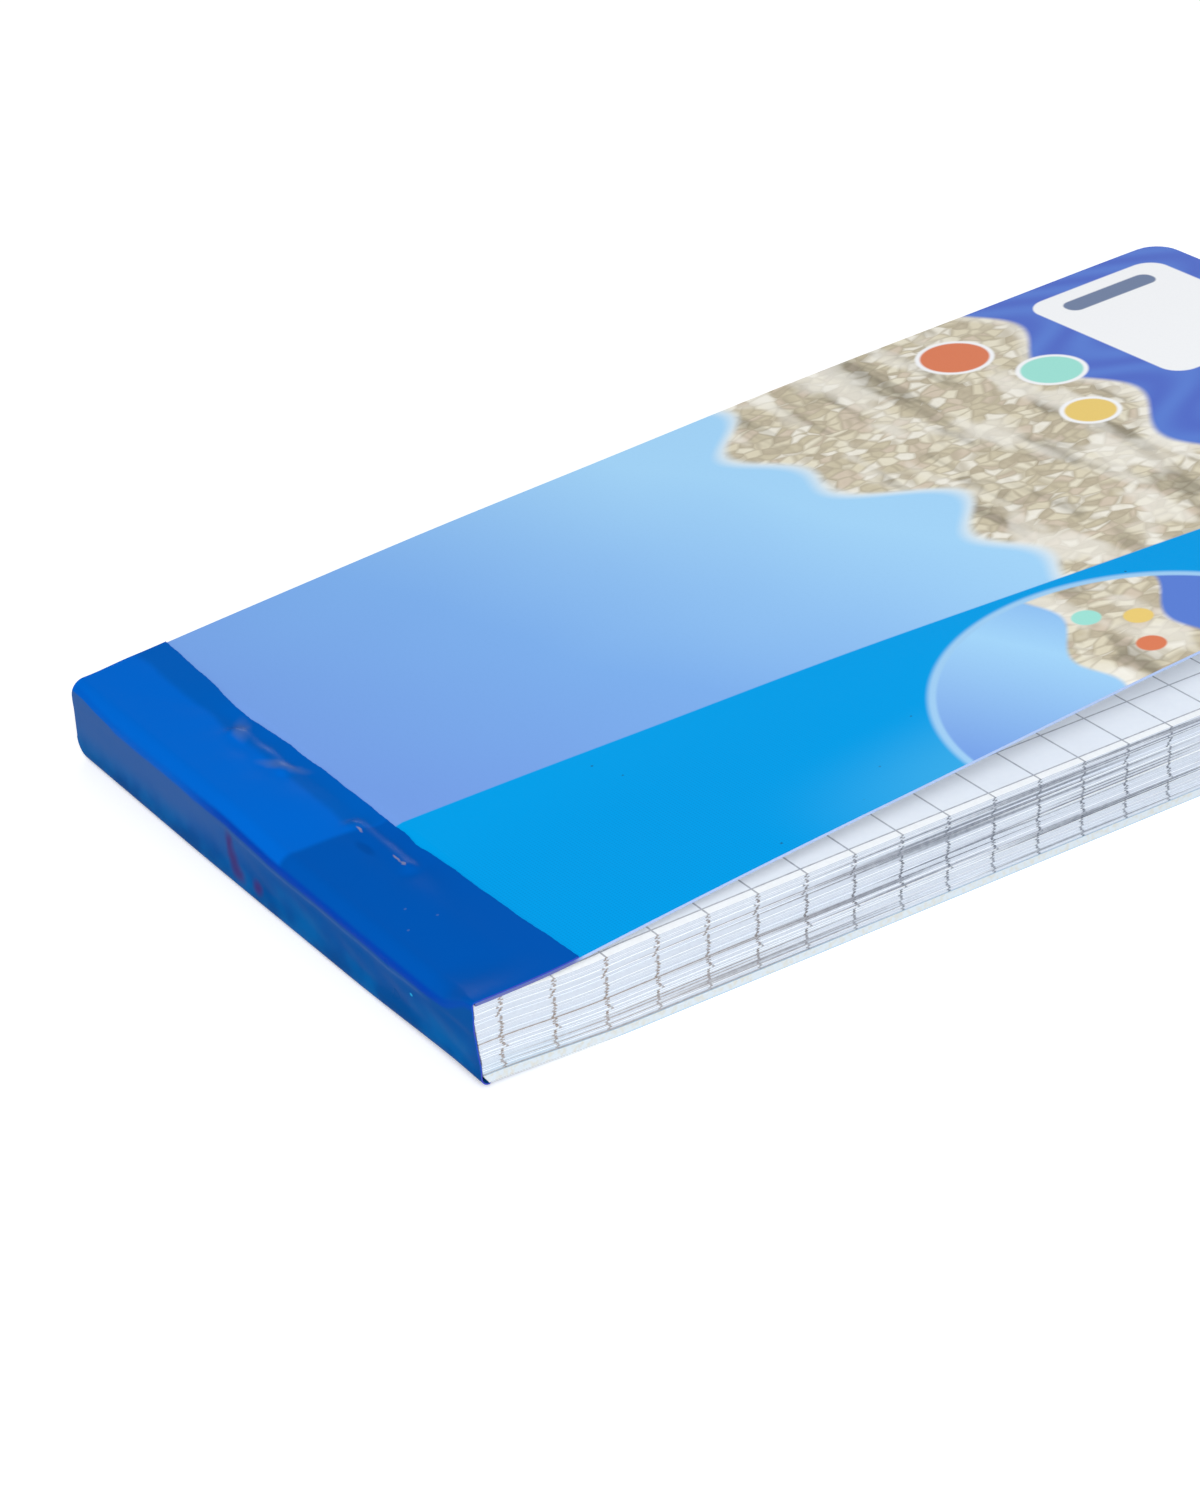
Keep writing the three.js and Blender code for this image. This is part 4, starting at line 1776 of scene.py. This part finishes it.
@dataclass(frozen=True)
class FrontCover:
    """The cover: a bound strip under the tape, and an arc that springs up from its crease."""

    places: Places
    binding: Binding
    crease_angle: float = math.radians(6.4)
    foot_angle: float = math.radians(2.2)
    rows_bound: int = 26
    rows_bend: int = 14
    rows_free: int = 60
    columns: int = 41
    bend_length: float = 1.8
    corner: float = 3.0
    corner_rows: tuple[float, ...] = (0.02, 0.08, 0.18, 0.32, 0.5, 0.72, 1.0)
    nick_y: float = 29.1
    nick_half: float = 0.45
    nick: float = 0.28
    near_edge: Span = (-33.0, -35.0)
    crease_run: float = 1.0
    twist: float = 0.24
    twist_middle: float = 0.4
    wavy_from: Span = (0.04, 0.3)
    spring_from: Span = (0.3, 0.0)
    wave: float = 0.1
    wave_along: float = 0.13
    wave_skew: float = 0.02
    wave_across: float = 0.06

    def path(self) -> tuple[np.ndarray, np.ndarray, np.ndarray]:
        """The lower face's middle line from the crease to the foot: the angle falls evenly with
        the length, and the place is the running sum of its cosine and sine.

        Returns:
            Y, Z and the angle at each row.
        """
        length = self.places.leaf_start_y - self.places.foot_y
        first = np.linspace(0, self.bend_length, self.rows_bend, endpoint=False)
        rest = self.bend_length + (length - self.bend_length) * np.linspace(0, 1, self.rows_free)
        corner = length - self.corner * np.array(self.corner_rows)
        run = np.unique(np.concatenate([first, rest, corner]))
        angle = self.crease_angle + (self.foot_angle - self.crease_angle) * run / length
        middle = (angle[1:] + angle[:-1]) / 2
        step = np.diff(run)
        y = self.places.leaf_start_y - running(step * np.cos(middle))
        z = self.places.crease_bottom_z + running(step * np.sin(middle))
        return y, z, angle

    def lower_face(self) -> tuple[np.ndarray, np.ndarray]:
        """The lower face's points from the foot to the head, and each row's angle.

        Returns:
            The grid of points and the angles.
        """
        places = self.places
        across = np.linspace(-1, 1, self.columns)
        y, z, angle = self.path()
        free_y = y[::-1][:, None] + np.zeros(self.columns)
        to_corner = self.corner - (free_y - free_y[0, 0])
        free_x = across * (places.half_width - round_loss(to_corner, self.corner))
        nicked = bell(self.nick_y, self.nick_half, free_y) * eased(*self.near_edge, free_x)
        free_x = free_x + self.nick * nicked
        free_z = z[::-1][:, None] + self.ripple(free_x, free_y)
        x = across * places.half_width
        top = np.full(self.columns, places.cover_bottom_z + LAYERS.cover)
        pressed = self.binding.press(x, np.full_like(x, places.head_y), top)
        end_y = self.binding.reach(x, pressed - LAYERS.cover, pressed)
        bound_y = places.leaf_start_y + (end_y - places.leaf_start_y) * shares_to(self.rows_bound)
        flat = self.binding.press(x, bound_y, top) - LAYERS.cover
        ease = eased(places.leaf_start_y + self.crease_run, places.leaf_start_y, bound_y)
        free = as_points(free_x, free_y, free_z)
        bound = as_points(x, bound_y, flat + self.binding.lift(x, bound_y))
        angles = np.concatenate([angle[::-1][:, None] + 0 * free_y, self.crease_angle * ease])
        return np.concatenate([free, bound]), angles

    def build(self, materials: tuple[bpy.types.Material, ...]) -> bpy.types.Object:
        """Makes the cover and hides the imported cover and its strip.

        Args:
            materials: The materials of its printed face, inner face and cut edges.

        Returns:
            The cover.
        """
        places = self.places
        inner, turn = self.lower_face()
        up = as_points(0.0, np.sin(turn), np.cos(turn))
        outer = inner + LAYERS.cover * up
        middle = inner[:, self.columns // 2]
        stretch = np.linalg.norm(np.diff(middle, axis=0), axis=-1)
        from_head = np.concatenate([np.cumsum(stretch[::-1])[::-1], [0]])
        from_head = from_head + (places.head_y - middle[-1, 1])
        printed = np.stack([inner[..., 0], from_head[:, None] + 0 * turn], axis=-1)
        slab = Slab("printed_cover", outer, inner, {PRINT_MAP: printed})
        cover = slab.build(materials)
        height = places.crease_bottom_z * MM
        end = (0, (places.tape_edge_y - self.bend_length) * MM, height)
        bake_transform(cover)
        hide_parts("front_cover", "cover_strip")
        return cover

    def ripple(self, x: np.ndarray, y: np.ndarray) -> np.ndarray:
        """What the lifted card adds to the arc: a twist that raises the near side and lowers the
        far one, slow waves, and the spring of the near corner."""
        start, end = self.places.leaf_start_y, self.places.foot_y
        to_foot = np.clip((start - y) / (start - end), 0, 1)
        side = x / self.places.half_width + self.twist_middle
        twisted = -self.twist * side * np.sin(math.pi * to_foot)
        free = self.wave * eased(*self.wavy_from, to_foot)
        along = np.sin(y * self.wave_along + x * self.wave_skew)
        waves = free * along * np.cos(x * self.wave_across)
        near = self.binding.near_rise * self.binding.near_share(x)
        return twisted + waves + near * eased(*self.spring_from, to_foot)


@dataclass(frozen=True)
class WrapTape:
    """The tape: over the cover's bound strip, down the head and under the board."""

    places: Places
    binding: Binding
    rows_top: int = 64
    rows_ridge: int = 14
    rows_head: int = 30
    rows_heel: int = 10
    rows_under: int = 14
    columns: int = 241
    smooth_to: float = 60.0
    overlap: float = 0.15
    bow: float = 0.55
    bow_power: int = 4
    far_bulge: float = 0.4
    far_bulge_at: tuple[float, float] = (19.0, 5.0)
    crooked: tuple[Ripple, ...] = ((0.03, 0.9, 1.0), (0.015, 2.3, 0.0), (0.012, 7.1, 0.0))
    notch: float = 0.22
    notch_at: tuple[float, float] = (-11.4, 1.2)
    notch_side: Span = (-13.2, -12.4)
    under_inset: float = 0.5
    under_settles: Span = (0.0, 0.1)
    under_wave: float = 0.05
    under_rate: float = 0.7
    bump: float = 0.25
    bump_width: float = 0.85
    bump_skirt: float = 0.9
    bump_inset: float = 0.2
    point: float = 0.14
    point_width: float = 0.8
    point_in: float = 0.5
    point_up: float = 0.2
    crease: float = 0.05
    crease_wide: float = 2.0
    crease_long: float = 3.0
    crease_rates: tuple[float, float, float] = (0.9, 1.3, 0.8)
    crease_slow: tuple[float, float] = (0.35, 0.9)

    def edge_y(self, x: np.ndarray) -> np.ndarray:
        """The top band's foot edge: bowed towards the head in the middle and a little crooked."""
        bowed = self.bow * (1 - (x / self.places.half_width) ** self.bow_power)
        bulged = self.far_bulge * bell(*self.far_bulge_at, x)
        notched = self.notch * bell(*self.notch_at, x) * eased(*self.notch_side, x)
        start = self.places.tape_edge_y - self.overlap
        return start + (bowed + bulged) + ripples(self.crooked, x) + notched

    def top_z(self, x: np.ndarray, y: np.ndarray) -> np.ndarray:
        """The top band's outer face: pressed with the stack, lifted at the flap, raised over
        each staple's crown and creased round it."""
        flat = self.binding.press(x, y, np.full_like(y, self.binding.flat_top_z()))
        lifted = flat + self.binding.lift(x, y)
        proud = self.bump + LAYERS.tape_gap
        for number, staple in enumerate(self.places.staples):
            away = np.abs(x - staple.centre_x)
            half, middle_y = staple.half_crown, staple.centre_y
            crown = eased(half + self.bump_skirt, half - self.bump_inset, away)
            lifted = lifted + proud * crown * bell(middle_y, self.bump_width, y)
            ends = bell(half - self.point_in, self.point_width, away)
            ends = ends * bell(middle_y + self.point_up, self.point_width, y)
            lifted = lifted + self.point * ends
            near = bell(staple.centre_x, half + self.crease_wide, x)
            near = near * bell(middle_y, self.crease_long, y)
            across, along, less = self.crease_rates
            slow = np.sin(x * self.crease_slow[0] - y * self.crease_slow[1] + number)
            creases = np.sin(x * across + y * (along - less * number)) * slow
            lifted = lifted + self.crease * (1 + number) * near * creases
        return lifted

    def sheet(self, depth: float) -> tuple[np.ndarray, np.ndarray]:
        """The tape's face at a depth under its outer one, and its wrap coordinate.

        Args:
            depth: The depth.

        Returns:
            The grid of points, and the wrap coordinate of each.
        """
        places, binding = self.places, self.binding
        x = close_at_ends(self.columns)[None, :] * places.half_width
        rows = (self.rows_top, self.rows_ridge, self.rows_head, self.rows_heel)
        shares = [shares_from(count) for count in rows]
        shares.append(np.linspace(0, 1, self.rows_under)[:, None])
        ridge, heel = binding.ridge_radius(x), binding.heel_radius(x)
        bend_y, edge = places.head_y - ridge, self.edge_y(x)
        top_y = edge + (bend_y - edge) * shares[0]
        top = as_points(x, top_y, self.top_z(x, top_y) - depth)
        ridge_base = self.top_z(x, bend_y) - ridge
        turn = shares[1] * math.pi / 2
        over_y = bend_y + (ridge - depth) * np.sin(turn)
        over = as_points(x, over_y, ridge_base + (ridge - depth) * np.cos(turn))
        heel_top = heel + binding.rocker(x, np.full_like(x, places.head_y))
        head_z = ridge_base + (heel_top - ridge_base) * shares[2]
        head = as_points(x, binding.head_y(x, head_z) - depth, head_z)
        heel_centre = binding.head_y(x, np.zeros_like(x)) - heel
        turn = shares[3] * math.pi / 2
        round_y = heel_centre + (heel - depth) * np.cos(turn)
        bent = as_points(x, round_y, heel_top - (heel - depth) * np.sin(turn))
        end = places.tape_edge_y + self.under_wave * (1 + np.sin(x * self.under_rate))
        under_y = heel_centre + (end - heel_centre) * shares[4]
        settled = eased(*self.under_settles, shares[4])
        under_x = x * (1 - self.under_inset / places.half_width * settled)
        under_z = depth + binding.rocker(under_x, under_y + places.head_y - heel_centre)
        under = as_points(under_x, under_y, under_z)
        points = np.concatenate([top, over, head, bent, under])
        wrap = np.concatenate([number + share for number, share in enumerate(shares)])
        return points, np.broadcast_to(wrap, points.shape[:2])

    def build(self, tape: bpy.types.Material, edge: bpy.types.Material) -> bpy.types.Object:
        """Makes the tape.

        Args:
            tape: The material of its faces.
            edge: The material of its cut edges.

        Returns:
            The tape.
        """
        outer, wrap = self.sheet(0.0)
        inner, _ = self.sheet(LAYERS.tape)
        mapped = np.stack([outer[..., 0], wrap], axis=-1)
        slab = Slab("wrap_tape", outer, inner, {WRAP_MAP: mapped}, self.smooth_to)
        piece = slab.build((tape, tape, edge))
        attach(piece, "pad")
        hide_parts("binding_tape")
        return piece


@dataclass(frozen=True)
class BackingBoard:
    """The board: flat on the ground, stepped up where the tape runs under it."""

    places: Places
    binding: Binding
    rows_flat: int = 24
    rows_step: int = 14
    rows_bound: int = 6
    rows_apart: float = 0.2
    columns: int = 17
    corner: float = 3.0
    step_start: float = 5.0

    def build(self, face: bpy.types.Material, rim: bpy.types.Material) -> bpy.types.Object:
        """Makes the board. Its head edge slants as the tape's round heel does.

        Args:
            face: The material of its faces.
            rim: The material of its cut edges.

        Returns:
            The board.
        """
        places = self.places
        corner = places.foot_y + self.corner * CORNER_ROWS
        step_y = places.leaf_start_y - self.step_start
        loose = np.linspace(corner[-1], step_y - self.rows_apart, self.rows_flat)
        step = np.linspace(step_y, places.tape_edge_y + self.rows_apart, self.rows_step)
        y = np.unique(np.concatenate([corner, loose, step]))[:, None] + np.zeros(self.columns)
        to_corner = self.corner - (y - places.foot_y)
        half = places.half_width - round_loss(to_corner, self.corner)
        x = close_at_ends(self.columns) * half
        head = np.full_like(x[-1], places.head_y)
        low = LAYERS.tape + LAYERS.tape_gap + self.binding.rocker(x[-1], head)
        faces = []
        for height in (places.board_top_z, 0.0):
            end = self.binding.reach(x[-1], low + height, low + height)
            bound_y = y[-1] + (end - y[-1]) * shares_to(self.rows_bound)
            face_y = np.concatenate([y, bound_y])
            face_x = np.concatenate([x, np.broadcast_to(x[-1], bound_y.shape)])
            face_z = self.binding.board_step(face_y) + self.binding.rocker(face_x, face_y) + height
            faces.append(as_points(face_x, face_y, face_z))
        piece = Slab("card_back", faces[0], faces[1]).build((face, face, rim))
        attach(piece, "pad")
        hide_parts("backing_board")
        return piece


@dataclass(frozen=True)
class Staple:
    """One staple as a bent wire: crown, two legs and two clinched points."""

    place: StaplePlace
    sunk: float
    thickness: float = 0.45
    bend: float = 0.375
    clinch: float = 3.6
    sides: int = 12
    bend_steps: int = 6
    smooth_to: float = 50.0

    def path(self) -> np.ndarray:
        """The wire's middle line in X and Z: straight runs joined by quarter circles.

        Returns:
            The points from one clinched point to the other.
        """
        half = self.place.half_crown - self.thickness / 2
        low = self.place.bottom_z + self.thickness / 2
        high = self.place.top_z - self.sunk - self.thickness / 2
        point = self.place.half_crown - self.clinch
        corners = ((half, low, -90.0), (half, high, 0.0), (-half, high, 90.0), (-half, low, 180.0))
        lines = [np.array([[point, low]])]
        for x, z, start in corners:
            angle = np.radians(start + np.linspace(0, 90, self.bend_steps))
            centre_x = x - math.copysign(self.bend, x)
            centre_z = z + (self.bend if z == low else -self.bend)
            arc = [centre_x + self.bend * np.cos(angle), centre_z + self.bend * np.sin(angle)]
            lines.append(np.stack(arc, axis=-1))
        lines.append(np.array([[-point, low]]))
        return np.concatenate(lines)

    def build(self, wire: bpy.types.Material) -> bpy.types.Object:
        """Makes the wire by carrying an oval along its path.

        Args:
            wire: Its material.

        Returns:
            The staple.
        """
        path = self.path()
        ahead = np.gradient(path, axis=0)
        ahead = ahead / np.linalg.norm(ahead, axis=1, keepdims=True)
        side = np.stack([-ahead[:, 1], ahead[:, 0]], axis=-1)
        angle = np.linspace(0, 2 * math.pi, self.sides, endpoint=False)
        swing = np.cos(angle)[None, :, None] * side[:, None, :] * self.thickness / 2
        x = path[:, None, 0] + swing[..., 0] + self.place.centre_x
        z = path[:, None, 1] + swing[..., 1]
        y = self.place.centre_y + np.sin(angle) * self.place.half_width
        points = as_points(x, y, z)
        number = numbered(points)
        following = np.roll(number, -1, axis=1)
        quads = np.stack([number[:-1], following[:-1], following[1:], number[1:]], axis=-1)
        faces = quads.reshape(-1, 4).tolist() + [number[0, ::-1].tolist(), number[-1].tolist()]
        name = f"wire_{self.place.name}"
        mesh = smooth_mesh(name, points.reshape(-1, 3), faces, self.smooth_to, (wire,))
        piece = linked(name, mesh)
        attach(piece, "pad")
        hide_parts(f"staple_{self.place.name}")
        return piece


@dataclass(frozen=True)
class Lamp:
    """A soft rectangular lamp that looks at the pad, in metres and watts."""

    name: str
    power: float
    wide: float
    tall: float
    place: tuple[float, float, float]

    def build(self) -> None:
        """Makes the lamp."""
        data = bpy.data.lights.new(self.name, "AREA")
        data.energy = self.power
        data.shape = "RECTANGLE"
        data.size = self.wide
        data.size_y = self.tall
        lamp = linked(self.name, data)
        lamp.location = self.place
        lamp.rotation_euler = (-Vector(self.place)).to_track_quat("-Z", "Y").to_euler()


@dataclass(frozen=True)
class Studio:
    """The floor, the backdrop's white, the lamps and the camera."""

    floor_half: float = 1.5
    ambient: float = 0.5
    floor_grey: float = 0.9
    floor_glow: float = 0.3
    far_glow: float = 0.3
    fades: Span = (160.0, 600.0)
    lamps: tuple[Lamp, ...] = (
        Lamp("soft_key", 4.6, 0.36, 0.36, (-0.545, 0.314, 0.409)),
        Lamp("low_fill", 2.6, 0.6, 0.15, (0.5, -0.5, 0.095)),
    )
    camera_at: tuple[float, float, float] = (-0.232125, 0.180528, 0.156577)
    azimuth: float = 237.302
    elevation: float = 29.009
    roll: float = -2.794
    lens: float = 83.47
    sensor: float = 36.0
    clip: tuple[float, float] = (0.01, 20.0)

    def build(self) -> None:
        """Makes the whole set."""
        self.make_world()
        self.make_floor()
        for lamp in self.lamps:
            lamp.build()
        self.make_camera()
        view = bpy.context.scene.view_settings
        view.view_transform = "Standard"

    def seen(self, tree: Tree) -> Value:
        """1 for rays from the camera, in a reflection or through glass, and 0 for the rest."""
        node = tree.node("ShaderNodeLightPath")
        camera, glossy, through = (
            Value(tree, node.outputs[f"Is {kind} Ray"])
            for kind in ("Camera", "Glossy", "Transmission")
        )
        return camera.most(glossy).most(through)

    def make_world(self) -> None:
        """A plain white world that lights the pad a little less than it shows."""
        world = bpy.data.worlds.new("studio_white")
        bpy.context.scene.world = world
        tree = Tree(world)
        strength = self.seen(tree) * (1.0 - self.ambient) + self.ambient
        light = {"Color": WHITE, "Strength": strength}
        tree.end("ShaderNodeOutputWorld", tree.node("ShaderNodeBackground", inputs=light))

    def make_floor(self) -> None:
        """A wide pale floor that keeps the pad's shadow and is otherwise white to the camera."""
        mesh = bpy.data.meshes.new("studio_floor")
        half = self.floor_half
        corners = [(-half, -half, 0), (half, -half, 0), (half, half, 0), (-half, half, 0)]
        mesh.from_pydata(corners, [], [(0, 1, 2, 3)])
        floor = linked("studio_floor", mesh)
        tree = Tree(bpy.data.materials.new("floor_white"))
        grey = (self.floor_grey,) * 3
        matte = tree.node("ShaderNodeBsdfDiffuse", inputs={"Color": grey})
        x, y, _ = tree.parts(tree.place())
        strength = self.floor_glow + length(x, y).rise(*self.fades) * self.far_glow
        light = {"Color": WHITE, "Strength": self.seen(tree) * strength}
        glow = tree.node("ShaderNodeEmission", inputs=light)
        both = tree.node("ShaderNodeAddShader")
        tree.links.new(matte.outputs[0], both.inputs[0])
        tree.links.new(glow.outputs[0], both.inputs[1])
        tree.end("ShaderNodeOutputMaterial", both)
        mesh.materials.append(tree.owner)

    def make_camera(self) -> None:
        """The camera at the photograph's place, angle and roll."""
        data = bpy.data.cameras.new("camera")
        data.lens = self.lens
        data.sensor_width = self.sensor
        data.clip_start, data.clip_end = self.clip
        camera = linked("camera", data)
        turn, rise = math.radians(self.azimuth), math.radians(self.elevation)
        level = math.cos(rise)
        back = Vector((math.sin(turn) * level, -math.cos(turn) * level, math.sin(rise)))
        facing = (-back).to_track_quat("-Z", "Y").to_matrix().to_4x4()
        rolled = facing @ Matrix.Rotation(math.radians(self.roll), 4, "Z")
        camera.matrix_world = Matrix.Translation(self.camera_at) @ rolled
        bpy.context.scene.camera = camera


def main() -> None:
    """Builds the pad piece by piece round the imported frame, and the studio round the pad."""
    logging.basicConfig(level=logging.INFO, format="%(name)s: %(message)s")
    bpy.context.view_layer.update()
    places = Places.read(frame)
    binding = Binding(places)
    faces = PaperFinish.faces().material()
    cut_edges = PaperFinish.cut_edges().material()
    print_front = CoverFinish().material()
    card = (CardFinish.inside().material(), CardFinish.cut_edge().material())
    sheets = PaperStack(places, binding).build(faces, cut_edges)
    log.info("%d sheets of paper", len(sheets))
    pieces = [
        FrontCover(places, binding).build((print_front, *card)),
        WrapTape(places, binding).build(TapeFinish().material(), TapeEdgeFinish().material()),
        BackingBoard(places, binding).build(
            BoardFinish.faces().material(), BoardFinish.cut_edges().material()
        ),
    ]
    wire = WireFinish().material()
    pieces += [Staple(place, binding.staple_sag).build(wire) for place in places.staples]
    for piece in pieces:
        log.info("%s: %d faces", piece.name, len(piece.data.polygons))
    Studio().build()


if __name__ == "__main__":
    main()
